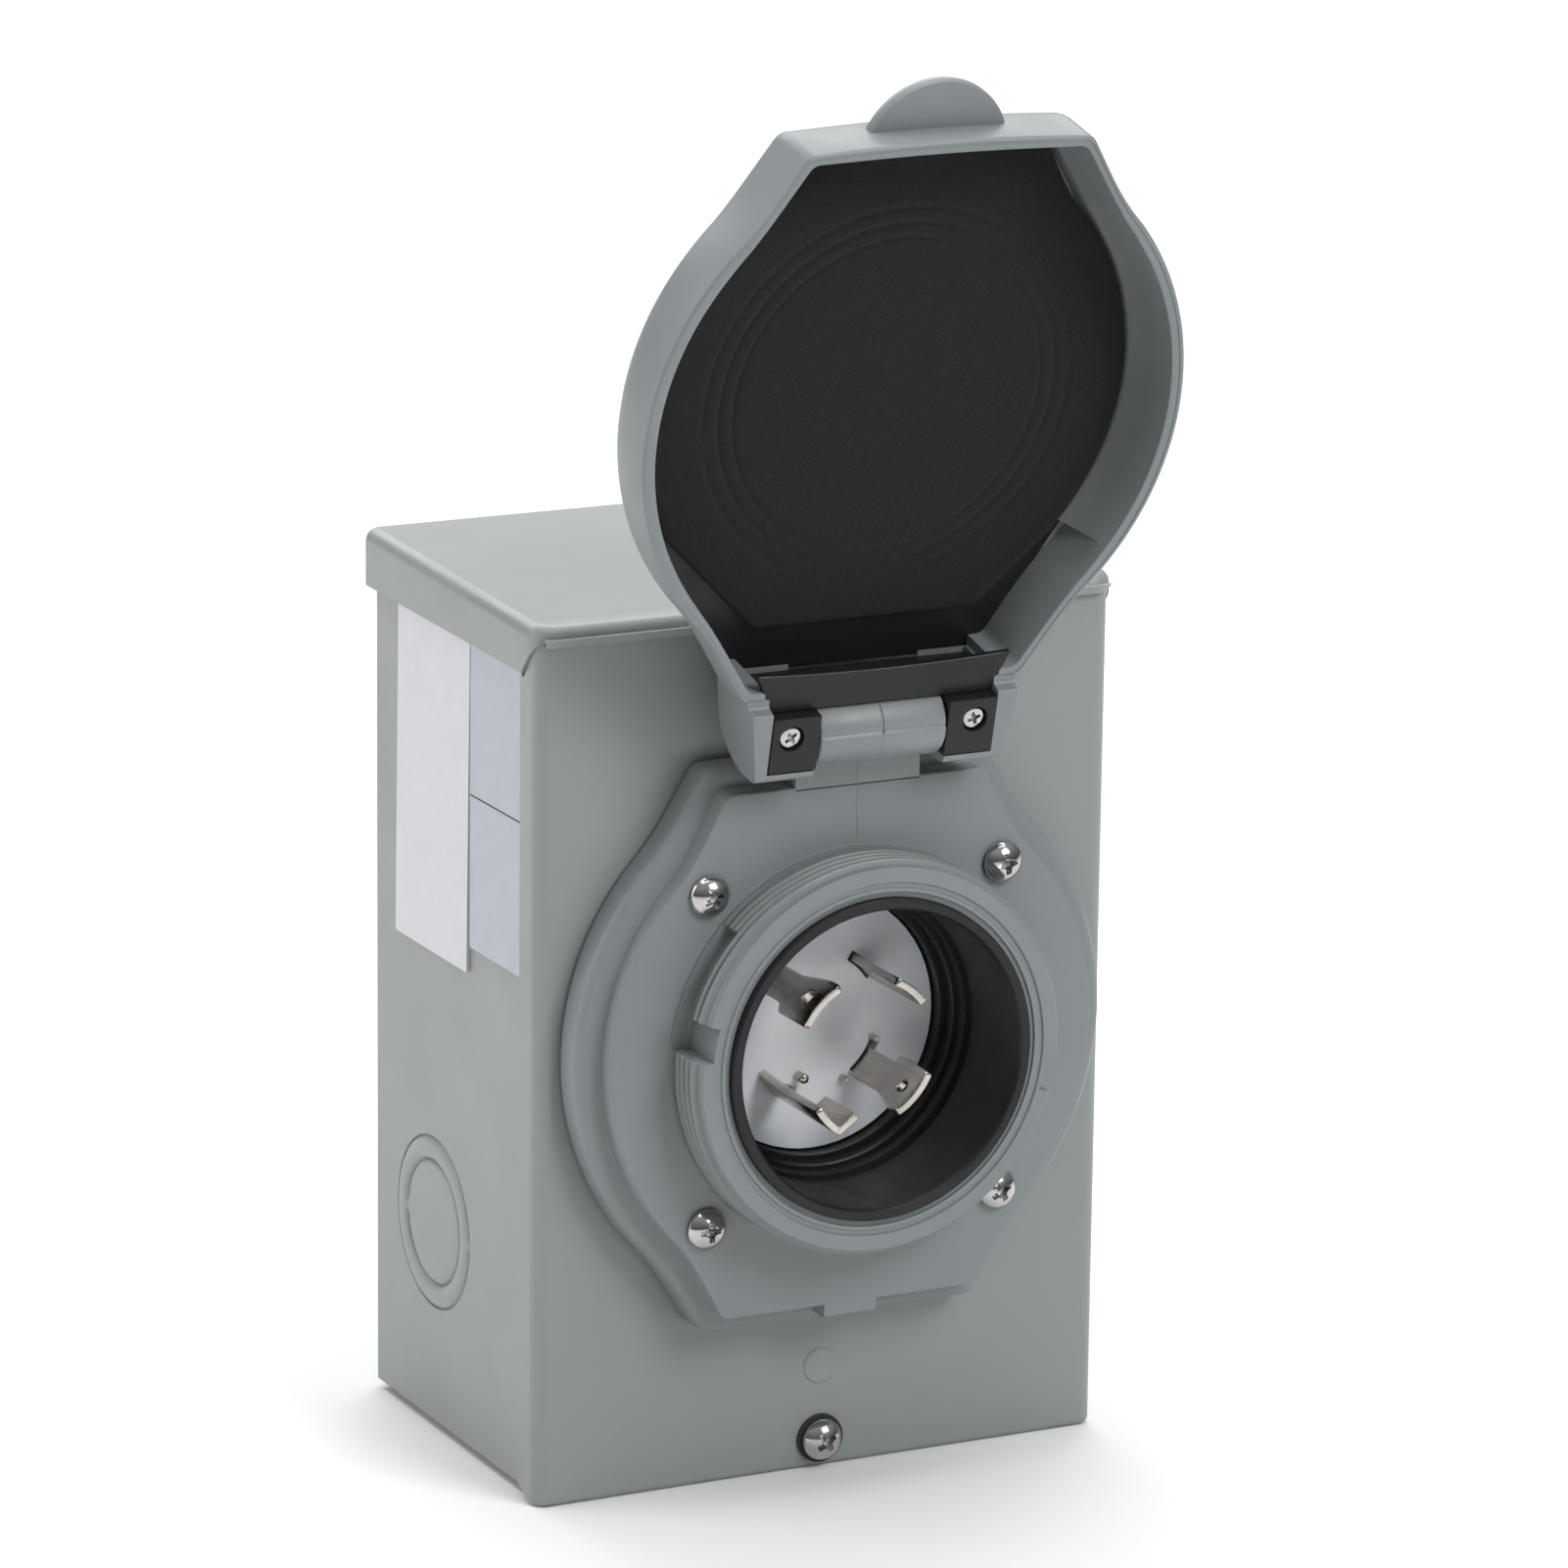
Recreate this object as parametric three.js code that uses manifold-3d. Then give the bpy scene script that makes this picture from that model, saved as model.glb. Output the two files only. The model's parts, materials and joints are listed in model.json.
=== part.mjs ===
// Generator inlet box: sheet-steel enclosure with a flanged four-blade locking inlet and a flip lid.
// Units are millimetres. The wall is the plane y = 0 and the box stands out towards -Y.
// The origin lies on the back sheet, level with the inlet's axis; +Z is up.
import * as THREE from 'three';
import { mergeVertices } from 'three/addons/utils/BufferGeometryUtils.js';
import Module from 'manifold-3d';

const wasm = await Module();
wasm.setup();

// ---- Driving dimensions ----------------------------------------------------------------------
const SHEET = 1.2;
const GAP = 0.3;

const BODY = { halfWidth: 58.5, bottom: -86.6, front: -76.1 };
const COVER_TAB = { halfWidth: 11, height: 11 };
const WALL_HOLES = { radius: 3.2, places: [[0, 62], [-40, -66], [40, -66]] };
const ROOF = { halfWidth: 60.7, topBack: 86.2, slope: 2.1, front: -79.9, frontLip: 2, lipBottom: 74.6 };
const ROOF_LIP_CORNER = { y: -72.2, z: 73.5 };
const COVER = { halfWidth: 60, face: -78.3, bottom: -88.1, flange: 7.6, bend: 2.4, hole: 39 };
const COVER_DIMPLE = { z: -67.6, radius: 3.5, land: 2.9, height: 0.35 };
const COVER_SCREW = { z: -82.2, headRadius: 4.2, headHeight: 3, shank: 2, seat: -79.6, length: 9 };
const COVER_WASHER = { radius: 4.8, front: -79.3 };

const FLANGE = {
  back: -79.6, outerFace: -86.5, innerFace: -91,
  outer: { radius: 55.5, endHalfWidth: 28.7, endHalfHeight: 55.1 },
  inner: { radius: 50.5, endHalfWidth: 26.8, endHalfHeight: 51.1 },
  bore: 32.5,
};
const COLLAR = { front: -102.6, frontRadius: 37.2, crestRadius: 38.4, footRadius: 38.8 };
const COLLAR_SLOT = { angle: 169, width: 7.3, depth: 3.5, axialDepth: 10.2 };
const SCREW_PATTERN = { x: 30.7, z: 32.4, hole: 2.4, headRadius: 4.1, headHeight: 2.8, shank: 2, length: 22 };
const NUT = { radius: 4.04, thickness: 3.2 };

const BARREL = {
  front: -103.3, outer: 31.6, mouth: 29, step: 27, stepFrom: -81, shelf: -76.3, throat: 25.7, back: -62,
  rimRadius: 37.5, rimFront: -79.3, rimBack: -76.3,
};
const BARREL_SCREW = {
  angles: [30, 150, 270],
  circle: 34.6,
  head: 2.4,
  headHeight: 1.9,
  shank: 1.2,
  depth: 8,
};
const FACE = { front: -73.7, back: -66, radius: 25.3 };
const BLADE = { tip: -96.85, radius: 15, thickness: 1.5, headDepth: 9, back: -46, holeRadius: 1.3 };
const REAR_BODY = { radius: 24.9, waist: -59, backRadius: 23.5, back: -42 };
const TERMINAL = { y: -51, pocket: [13, 27], pocketWidth: 9.5, pocketDepth: 12.5, clamp: [15.4, 17.4] };
const TERMINAL_SCREW = { shank: 1.4, inner: 13.2, head: 3.2, headFrom: 17.6, headTo: 20.4 };
const GROUND_SCREW = { x: -38, y: -26, head: 3.9, headHeight: 2.7, shank: 2, length: 7.8 };

const HINGE = { y: -95, z: 63.2, barrelRadius: 6.8, barrelHalf: 13, pinRadius: 1.5, pinHalf: 16.4 };
const LID = {
  openLean: 13.2, centre: 62.9, rim: -3.8, radius: 54.9, endHalfWidth: 28.5, endHalfHeight: 54.4,
  wall: 2.6, back: 14.3, edgeRound: 8.6, foamFace: 8.6, foamThickness: 3,
};

const LID_TAB = { radius: 14.8, centre: 112.5, front: 2.6, back: 5.6 };
const LID_EAR = { inner: 13.6, outer: 27.6, foot: 12 };
const FOAM_TRIM = { halfWidth: 22, z: 17.7, farHalfWidth: 60, farZ: 55.7 };
const RETAINER = { inner: 13.6, outer: 23.1, front: -6.3, back: 6.1, bottom: -5.1, top: 9.6 };
const RETAINER_SCREW = {
  x: 19, z: 1.8, head: -6.2, headRadius: 2.2, shank: 1.2, end: 8, recess: 2.5, recessTo: -4.6,
};

const KNOCKOUT = { outer: 17.2, inner: 12.4, groove: 0.35, y: -27.5, z: -46.1, bottomY: -36 };
const LABELS = {
  thickness: 0.3,
  top: 77.5,
  wide: { y: [-45.4, -11.7], bottom: 8.7 },
  narrow: { y: [-69.6, -45.9], bottom: 14.1 },
};
const FAR = 140;

// ---- Materials -------------------------------------------------------------------------------
const finish = (color, roughness, metalness) =>
  new THREE.MeshStandardMaterial({ color, roughness, metalness });
const PAINT = finish(0x8e9693, 0.45, 0);
const PLASTIC = finish(0x82898b, 0.5, 0);
const BLACK = finish(0x2b2a2d, 0.42, 0);
const FOAM = finish(0x232122, 0.95, 0);
const RUBBER = finish(0x1d1d1f, 0.8, 0);
const NYLON = finish(0xc3c7d0, 0.4, 0);
const NICKEL = finish(0xb9b4aa, 0.3, 1);
const STEEL = finish(0xc4c4c6, 0.22, 1);
const BRASS = finish(0xb8934a, 0.35, 1);
const GREEN = finish(0x2f7d45, 0.4, 1);
const LABEL_WHITE = finish(0xe9eaee, 0.45, 0);
const LABEL_GREY = finish(0xbcc0cb, 0.45, 0);

// ---- Solid helpers ---------------------------------------------------------------------------
function signedVolume(position, index) {
  const [a, b, c] = [new THREE.Vector3(), new THREE.Vector3(), new THREE.Vector3()];
  let volume = 0;
  for (let i = 0; i < index.length; i += 3) {
    a.fromBufferAttribute(position, index[i]);
    b.fromBufferAttribute(position, index[i + 1]);
    c.fromBufferAttribute(position, index[i + 2]);
    volume += a.dot(b.cross(c)) / 6;
  }
  return volume;
}

function solid(geometry) {
  geometry.deleteAttribute('normal');
  geometry.deleteAttribute('uv');
  const merged = mergeVertices(geometry, 1e-4);
  const index = Array.from(merged.index.array);
  if (signedVolume(merged.attributes.position, index) < 0) {
    index.reverse();
  }
  const mesh = new wasm.Mesh({
    numProp: 3,
    vertProperties: new Float32Array(merged.attributes.position.array),
    triVerts: new Uint32Array(index),
  });
  return new wasm.Manifold(mesh);
}

const join = (first, ...rest) => rest.reduce((sum, piece) => sum.add(piece), first);
const cut = (first, ...rest) => rest.reduce((left, piece) => left.subtract(piece), first);

function mesh(name, body, material) {
  const { vertProperties, triVerts } = body.getMesh();
  const geometry = new THREE.BufferGeometry();
  geometry.setAttribute('position', new THREE.BufferAttribute(vertProperties, 3));
  geometry.setIndex(new THREE.BufferAttribute(triVerts, 1));
  geometry.computeVertexNormals();
  const result = new THREE.Mesh(geometry, material);
  result.name = name;
  return result;
}

function box([x0, x1], [y0, y1], [z0, z1]) {
  const geometry = new THREE.BoxGeometry(x1 - x0, y1 - y0, z1 - z0);
  geometry.translate((x0 + x1) / 2, (y0 + y1) / 2, (z0 + z1) / 2);
  return solid(geometry);
}

// A round bar along Y, X or Z, between two stations on its axis.
function rodY(radius, y0, y1, x = 0, z = 0, sides = 24) {
  const geometry = new THREE.CylinderGeometry(radius, radius, Math.abs(y1 - y0), sides);
  geometry.translate(x, (y0 + y1) / 2, z);
  return solid(geometry);
}

function rodX(radius, x0, x1, y, z, sides = 24) {
  const geometry = new THREE.CylinderGeometry(radius, radius, Math.abs(x1 - x0), sides);
  geometry.rotateZ(Math.PI / 2);
  geometry.translate((x0 + x1) / 2, y, z);
  return solid(geometry);
}

function rodZ(radius, z0, z1, x, y, sides = 24) {
  const geometry = new THREE.CylinderGeometry(radius, radius, Math.abs(z1 - z0), sides);
  geometry.rotateX(Math.PI / 2);
  geometry.translate(x, y, (z0 + z1) / 2);
  return solid(geometry);
}

// A body turned about the inlet's axis from [radius, y] points.
function turned(profile, sides = 56) {
  const points = profile.map(([radius, y]) => new THREE.Vector2(radius, y));
  points.push(points[0].clone());
  return solid(new THREE.LatheGeometry(points, sides));
}

// A plate cut to a shape in the X-Z plane, from y0 (front) to y1 (back).
function plate(shape, y0, y1, curveSegments = 12) {
  const geometry = new THREE.ExtrudeGeometry(shape, { depth: y1 - y0, bevelEnabled: false, curveSegments });
  geometry.rotateX(Math.PI / 2);
  geometry.translate(0, y1, 0);
  return solid(geometry);
}

// A profile drawn in the Y-Z plane, extruded along X between two stations.
function profileX(points, x0, x1) {
  const shape = new THREE.Shape(points.map(([y, z]) => new THREE.Vector2(y, z)));
  const geometry = new THREE.ExtrudeGeometry(shape, { depth: x1 - x0, bevelEnabled: false });
  geometry.rotateX(Math.PI / 2);
  geometry.rotateZ(Math.PI / 2);
  geometry.translate(x0, 0, 0);
  return solid(geometry);
}

const radians = THREE.MathUtils.degToRad;

// ---- The outline that the flange, its gasket and the lid share -------------------------------
// A circle with a flat-ended extension at the top and at the bottom, blended at the four necks.
const NECK_ANGLE = 47.5;
const NECK_BLEND = 6;

function inletOutline({ radius, endHalfWidth, endHalfHeight }, arcSteps = 11) {
  const quarter = [];
  const last = NECK_ANGLE - NECK_BLEND;
  for (let i = 0; i <= arcSteps; i += 1) {
    const angle = radians((last * i) / arcSteps);
    quarter.push([radius * Math.cos(angle), radius * Math.sin(angle)]);
  }
  const neck = [radius * Math.cos(radians(NECK_ANGLE)), radius * Math.sin(radians(NECK_ANGLE))];
  const side = [endHalfWidth - neck[0], endHalfHeight - neck[1]];
  const start = quarter[quarter.length - 1];
  const end = [neck[0] + side[0] * 0.42, neck[1] + side[1] * 0.42];
  for (const t of [0.33, 0.67, 1]) {
    const [p, q, r] = [(1 - t) ** 2, 2 * t * (1 - t), t * t];
    quarter.push([p * start[0] + q * neck[0] + r * end[0], p * start[1] + q * neck[1] + r * end[1]]);
  }
  for (const s of [0.93, 1]) {
    const inset = s === 1 ? 0.9 : 0;
    quarter.push([neck[0] + side[0] * s - inset, neck[1] + side[1] * s]);
  }
  const mirrored = quarter.slice().reverse();
  return [
    ...quarter,
    ...mirrored.map(([x, z]) => [-x, z]).slice(0, -1),
    ...quarter.map(([x, z]) => [-x, -z]),
    ...mirrored.map(([x, z]) => [x, -z]).slice(0, -1),
  ];
}

const shapeOf = (points) => new THREE.Shape(points.map(([x, z]) => new THREE.Vector2(x, z)));

function inset({ radius, endHalfWidth, endHalfHeight }, distance) {
  return {
    radius: radius - distance,
    endHalfWidth: endHalfWidth - distance * 0.6,
    endHalfHeight: endHalfHeight - distance,
  };
}

// A skin of outlines at rising y, closed by a flat cap at each end.
function loft(levels) {
  const ring = ({ outline, y, shift = 0 }) => inletOutline(outline).map(([x, z]) => [x, y, z + shift]);
  const rings = levels.map(ring);
  const count = rings[0].length;
  const positions = rings.flat(2);
  const index = [];
  for (let k = 0; k < rings.length - 1; k += 1) {
    for (let i = 0; i < count; i += 1) {
      const [a, b] = [k * count + i, k * count + ((i + 1) % count)];
      index.push(a, b, b + count, a, b + count, a + count);
    }
  }
  for (const k of [0, rings.length - 1]) {
    const contour = rings[k].map(([x, , z]) => new THREE.Vector2(x, z));
    for (const triangle of THREE.ShapeUtils.triangulateShape(contour, [])) {
      const face = triangle.map((i) => k * count + i);
      index.push(...(k === 0 ? face.reverse() : face));
    }
  }
  const geometry = new THREE.BufferGeometry();
  geometry.setAttribute('position', new THREE.Float32BufferAttribute(positions, 3));
  geometry.setAttribute('normal', new THREE.Float32BufferAttribute(positions.map(() => 0), 3));
  const blankUv = new Array((positions.length / 3) * 2).fill(0);
  geometry.setAttribute('uv', new THREE.Float32BufferAttribute(blankUv, 2));
  geometry.setIndex(index);
  return solid(geometry);
}

// ---- Enclosure -------------------------------------------------------------------------------
const roofTop = (y) => ROOF.topBack + y * Math.tan(radians(ROOF.slope));

// Everything above the roof's top surface, lowered by drop.
function aboveRoof(drop) {
  const points = [[GAP, roofTop(GAP) - drop], [-FAR, roofTop(-FAR) - drop], [-FAR, FAR], [GAP, FAR]];
  return profileX(points, -FAR, FAR);
}

function enclosureBody() {
  const { halfWidth, bottom, front } = BODY;
  const outer = box([-halfWidth, halfWidth], [front, 0], [bottom, ROOF.topBack]);
  const inner = halfWidth - SHEET;
  const hollow = box([-inner, inner], [front - 1, -SHEET], [bottom + SHEET, ROOF.topBack + 1]);
  const tab = box([-COVER_TAB.halfWidth, COVER_TAB.halfWidth], [front, front + SHEET],
    [bottom + SHEET / 2, bottom + COVER_TAB.height]);
  const wallHoles = WALL_HOLES.places.map(([x, z]) => rodY(WALL_HOLES.radius, -3, 1, x, z, 14));
  const sideHoles = [-1, 1].map((side) => rodX(
    KNOCKOUT.outer, side * (halfWidth - 3), side * (halfWidth + 3), KNOCKOUT.y, KNOCKOUT.z, 32));
  const bottomHole = rodZ(KNOCKOUT.outer, bottom - 3, bottom + 3, 0, KNOCKOUT.bottomY, 32);
  const screwHole = rodY(COVER_SCREW.shank + GAP, front - 2, front + 4, 0, COVER_SCREW.z, 16);
  return cut(join(cut(outer, hollow), tab), aboveRoof(SHEET + GAP), ...wallHoles, ...sideHoles, bottomHole,
    screwHole);
}

function roofHood() {
  const { halfWidth, front, frontLip, lipBottom } = ROOF;
  const inner = front + SHEET;
  const slab = profileX([[0, roofTop(0)], [front, roofTop(front)], [front, roofTop(front) - frontLip],
    [inner, roofTop(front) - frontLip], [inner, roofTop(inner) - SHEET], [0, roofTop(0) - SHEET]],
  -halfWidth, halfWidth);
  const middle = SHEET / 2;
  const lipPoints = [[0, roofTop(0) - middle], [0, lipBottom], [ROOF_LIP_CORNER.y, ROOF_LIP_CORNER.z],
    [front + middle, roofTop(front) - frontLip], [front + middle, roofTop(front) - middle]];
  const lips = [[-halfWidth, -halfWidth + SHEET], [halfWidth - SHEET, halfWidth]];
  return join(slab, ...lips.map(([x0, x1]) => profileX(lipPoints, x0, x1)));
}

// The cover's plan: a front sheet with a rounded bend into a flange at each side.
function coverPlan() {
  const { halfWidth: w, face, bend, flange } = COVER;
  const shape = new THREE.Shape();
  shape.moveTo(-w, face + flange);
  shape.lineTo(-w, face + bend);
  shape.absarc(-w + bend, face + bend, bend, Math.PI, 1.5 * Math.PI, false);
  shape.absarc(w - bend, face + bend, bend, 1.5 * Math.PI, 2 * Math.PI, false);
  shape.lineTo(w, face + flange);
  shape.lineTo(w - SHEET, face + flange);
  shape.lineTo(w - SHEET, face + bend);
  shape.absarc(w - bend, face + bend, bend - SHEET, 0, -0.5 * Math.PI, true);
  shape.absarc(-w + bend, face + bend, bend - SHEET, 1.5 * Math.PI, Math.PI, true);
  shape.lineTo(-w + SHEET, face + flange);
  return shape;
}

function frontCover() {
  const { halfWidth, face, bottom, flange, hole } = COVER;
  const top = roofTop(face) - SHEET - GAP;
  const upright = { depth: top - bottom, bevelEnabled: false, curveSegments: 5 };
  const sheet = new THREE.ExtrudeGeometry(coverPlan(), upright);
  sheet.translate(0, 0, bottom);
  const middle = SHEET / 2;
  const reach = halfWidth - middle;
  const base = box([-reach, reach], [face + middle, face + flange], [bottom, bottom + SHEET]);
  const slotBack = [-60, 64.2];
  const slotCorner = [ROOF_LIP_CORNER.y + 0.9, 72.3];
  const slotFront = [face + 0.1, 79.3];
  const underLip = profileX(
    [slotBack, slotCorner, slotFront, [slotFront[0], FAR], [slotBack[0], FAR]], -FAR, FAR,
  );
  const keep = halfWidth - SHEET - GAP;
  const shoulder = cut(underLip, box([-keep, keep], [slotBack[0], face + 2 * SHEET], [60, FAR]));
  const through = (radius, x, z, sides) => rodY(radius, face - 1, face + 3, x, z, sides);
  const flangeHoles = screwPositions().map(([x, z]) => through(SCREW_PATTERN.hole, x, z, 12));
  const { z: dimpleZ, radius, land, height } = COVER_DIMPLE;
  const dimple = cut(
    rodY(radius, face - height, face + GAP, 0, dimpleZ), rodY(land, face - 1, face - 0.05, 0, dimpleZ));
  return cut(join(solid(sheet), base, dimple), shoulder, through(hole, 0, 0, 40),
    through(COVER_SCREW.shank + GAP, 0, COVER_SCREW.z, 16), ...flangeHoles);
}

// A pan-head machine screw along Y: its head stands out from the seat towards -Y.
function panScrew({ x, z, seat, headRadius: r, headHeight: h, shank, length }) {
  const profile = [[0, 0], [r, 0], [r, 0.35 * h], [0.82 * r, 0.75 * h], [0.45 * r, h], [0, h]];
  const points = profile.map(([radius, height]) => new THREE.Vector2(radius, seat - height));
  const head = new THREE.LatheGeometry(points, 14);
  head.translate(x, 0, z);
  return join(solid(head), rodY(shank, seat - 0.1, seat + length, x, z, 10));
}

function knockouts() {
  const { halfWidth, bottom } = BODY;
  const { outer, inner, groove, y, z } = KNOCKOUT;
  const parts = [];
  for (const [label, side] of [['left', -1], ['right', 1]]) {
    const [x0, x1] = [side * (halfWidth - SHEET), side * halfWidth];
    const hole = rodX(inner, x0 - 2 * side, x1 + 2 * side, y, z, 28);
    const ring = cut(rodX(outer - groove, x0, x1, y, z, 32), hole);
    const disc = rodX(inner - groove, x0, x1, y, z, 28);
    parts.push(mesh(`knockout_${label}_ring`, ring, PAINT), mesh(`knockout_${label}_disc`, disc, PAINT));
  }
  const [z0, z1] = [bottom, bottom + SHEET];
  const { bottomY } = KNOCKOUT;
  const ring = cut(rodZ(outer - groove, z0, z1, 0, bottomY, 32), rodZ(inner, z0 - 2, z1 + 2, 0, bottomY, 28));
  parts.push(mesh('knockout_bottom_ring', ring, PAINT));
  parts.push(mesh('knockout_bottom_disc', rodZ(inner - groove, z0, z1, 0, bottomY, 28), PAINT));
  return parts;
}

function labels() {
  const { thickness, top, wide, narrow } = LABELS;
  const back = -BODY.halfWidth - GAP;
  const skin = ({ y, bottom }) => box([back - thickness, back], y, [bottom, top]);
  return [
    mesh('side_label_wide', skin(wide), LABEL_WHITE),
    mesh('side_label_narrow', skin(narrow), LABEL_GREY),
  ];
}

// ---- Inlet flange ----------------------------------------------------------------------------
function screwPositions() {
  const { x, z } = SCREW_PATTERN;
  return [[-x, z], [x, z], [-x, -z], [x, -z]];
}

function collarProfile() {
  const { front, frontRadius, footRadius, crestRadius } = COLLAR;
  const foot = FLANGE.innerFace - 2.2;
  const root = FLANGE.innerFace + 2;
  return [
    [FLANGE.bore, root], [footRadius, root], [footRadius, foot], [crestRadius, foot],
    [crestRadius, front + 1.3], [frontRadius, front + 1.3], [frontRadius, front], [FLANGE.bore, front],
  ];
}

function collarSlot(turn) {
  const { angle, width, depth, axialDepth } = COLLAR_SLOT;
  const centre = COLLAR.crestRadius - depth / 2 + 1;
  const geometry = new THREE.BoxGeometry(depth + 2, axialDepth + 1, width);
  geometry.translate(centre, COLLAR.front + axialDepth / 2 - 0.5, 0);
  geometry.rotateY(-radians(angle + turn));
  return solid(geometry);
}

function inletFlange() {
  const { back, outerFace, innerFace, outer, inner, bore } = FLANGE;
  const base = loft([
    { outline: outer, y: back }, { outline: outer, y: outerFace + 1.4 },
    { outline: inset(outer, 0.45), y: outerFace + 0.4 }, { outline: inset(outer, 1.4), y: outerFace },
  ]);
  const root = back - 1;
  const raised = plate(shapeOf(inletOutline(inner)), innerFace, root);
  const spout = box([-5.5, 5.5], [innerFace, outerFace + 1], [-outer.endHalfHeight + 1.2, -45]);
  const { y, z, barrelRadius, barrelHalf, pinRadius } = HINGE;
  const web = box([-barrelHalf, barrelHalf], [innerFace, root], [45, z]);
  const knuckle = rodX(barrelRadius, -barrelHalf, barrelHalf, y, z, 32);
  const pinBore = rodX(pinRadius + GAP, -barrelHalf - 1, barrelHalf + 1, y, z, 20);
  const screwHole = ([x, zAt]) => rodY(SCREW_PATTERN.hole, innerFace - 1, back + 2, x, zAt, 12);
  const { shank, depth } = BARREL_SCREW;
  const pilot = ([x, zAt]) => rodY(shank + GAP, back - depth + 3, back + 1, x, zAt, 12);
  const mouth = rodY(bore, COLLAR.front - 1, back + 2, 0, 0, 56);
  return cut(join(base, raised, spout, web, knuckle, turned(collarProfile())), mouth, pinBore,
    ...screwPositions().map(screwHole), ...barrelScrewPositions().map(pilot), collarSlot(0), collarSlot(180));
}

function flangeGasket() {
  const outline = shapeOf(inletOutline(inset(FLANGE.outer, 1.5)));
  const sheet = plate(outline, FLANGE.back + GAP, COVER.face - GAP);
  const through = (radius, x, z, sides) => rodY(radius, FLANGE.back - 1, COVER.face + 1, x, z, sides);
  const holes = screwPositions().map(([x, z]) => through(SCREW_PATTERN.hole, x, z, 12));
  return cut(sheet, through(COVER.hole, 0, 0, 40), ...holes);
}

function hexNut(x, z) {
  const front = COVER.face + SHEET + GAP;
  const back = front + NUT.thickness;
  const bore = rodY(SCREW_PATTERN.shank + GAP, front - 1, back + 1, x, z, 14);
  return cut(rodY(NUT.radius, front, back, x, z, 6), bore);
}

function flangeFasteners() {
  const { headRadius, headHeight, shank, length } = SCREW_PATTERN;
  const parts = [];
  screwPositions().forEach(([x, z], i) => {
    const screw = panScrew({ x, z, seat: FLANGE.innerFace - GAP, headRadius, headHeight, shank, length });
    parts.push(mesh(`flange_screw_${i + 1}`, screw, STEEL));
    parts.push(mesh(`flange_nut_${i + 1}`, hexNut(x, z), STEEL));
  });
  return parts;
}

// ---- Locking inlet ---------------------------------------------------------------------------
function barrelScrewPositions() {
  const { angles, circle } = BARREL_SCREW;
  return angles.map((angle) => [circle * Math.cos(radians(angle)), circle * Math.sin(radians(angle))]);
}

function inletBarrel() {
  const { front, outer, mouth, step, stepFrom, shelf, throat, back, rimRadius, rimFront, rimBack } = BARREL;
  const barrel = turned([
    [mouth + 0.5, front], [outer - 0.4, front], [outer, front + 0.4],
    [outer, rimFront], [rimRadius, rimFront],
    [rimRadius, rimBack], [outer, rimBack], [outer, back], [throat, back], [throat, shelf], [step, shelf],
    [step, stepFrom], [mouth, stepFrom], [mouth, front + 0.5],
  ]);
  const hole = ([x, z]) => rodY(BARREL_SCREW.shank + GAP, rimFront - 1, rimBack + 1, x, z, 12);
  return cut(barrel, ...barrelScrewPositions().map(hole));
}

// One contact: a curved plate on the contact circle with a wide locking head and a narrower stem.
// Angles are degrees about the inlet's axis: head is the head's sweep about middle, and stem is where
// the stem starts and ends, counted from middle. The ground contact has a leg that turns inwards.
const CONTACTS = [
  { name: 'blade_line_x', middle: 134, head: 41, stem: [-20.5, 8], hole: true },
  { name: 'blade_line_y', middle: -43, head: 41, stem: [-8, 20.5], hole: true },
  { name: 'blade_neutral', middle: 49.5, head: 32, stem: [-16, 6] },
  { name: 'blade_ground', middle: -121, head: 29, stem: [-6, 14.5], leg: 4.2 },
];

const stemMiddle = ({ middle, stem }) => middle + (stem[0] + stem[1]) / 2;

function arcPlate(radius, thickness, fromAngle, toAngle, y0, y1) {
  const shape = new THREE.Shape();
  const [a, b] = [radians(fromAngle), radians(toAngle)];
  shape.absarc(0, 0, radius, a, b, false);
  shape.absarc(0, 0, radius - thickness, b, a, true);
  return plate(shape, y0, y1, 5);
}

// A round pin along a spoke of the inlet's axis, from the inner to the outer radius.
function radialPin(angle, y, radius, inner, outer) {
  const geometry = new THREE.CylinderGeometry(radius, radius, outer - inner, 14);
  geometry.rotateZ(Math.PI / 2);
  geometry.translate((inner + outer) / 2, y, 0);
  geometry.rotateY(-radians(angle));
  return solid(geometry);
}

// A block centred on a spoke: its sizes are along the spoke, along Y and across.
function radialBlock(angle, [inner, outer], y, depth, width) {
  const geometry = new THREE.BoxGeometry(outer - inner, depth, width);
  geometry.translate((inner + outer) / 2, y, 0);
  geometry.rotateY(-radians(angle));
  return solid(geometry);
}

function contactBlade(contact) {
  const { middle, head, stem, hole, leg } = contact;
  const { tip, radius, thickness, headDepth, back, holeRadius } = BLADE;
  const headMiddle = tip + headDepth / 2;
  const pieces = [arcPlate(radius, thickness, middle + stem[0], middle + stem[1], tip + headDepth - 1, back)];
  if (leg) {
    const spoke = [radius - leg, radius - 0.1];
    pieces.push(radialBlock(middle + head / 2 - 3, spoke, headMiddle, headDepth, thickness));
  }
  const blade = arcPlate(radius, thickness, middle - head / 2, middle + head / 2, tip, tip + headDepth);
  const whole = join(blade, ...pieces);
  const drill = (angle, y, size) => radialPin(angle, y, size, radius - 4, radius + 2);
  const holes = [drill(stemMiddle(contact), TERMINAL.y, TERMINAL_SCREW.shank + GAP)];
  if (hole) {
    holes.push(drill(middle, headMiddle, holeRadius));
  }
  return cut(whole, ...holes);
}

function contactSlots(y0, y1) {
  const { radius, thickness } = BLADE;
  return CONTACTS.map(({ middle, stem }) => arcPlate(radius + GAP, thickness + 2 * GAP,
    middle + stem[0] - 2, middle + stem[1] + 2, y0, y1));
}

function inletFace() {
  const { front, back, radius } = FACE;
  return cut(rodY(radius, front, back, 0, 0, 56), ...contactSlots(front - 1, back + 1));
}

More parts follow.
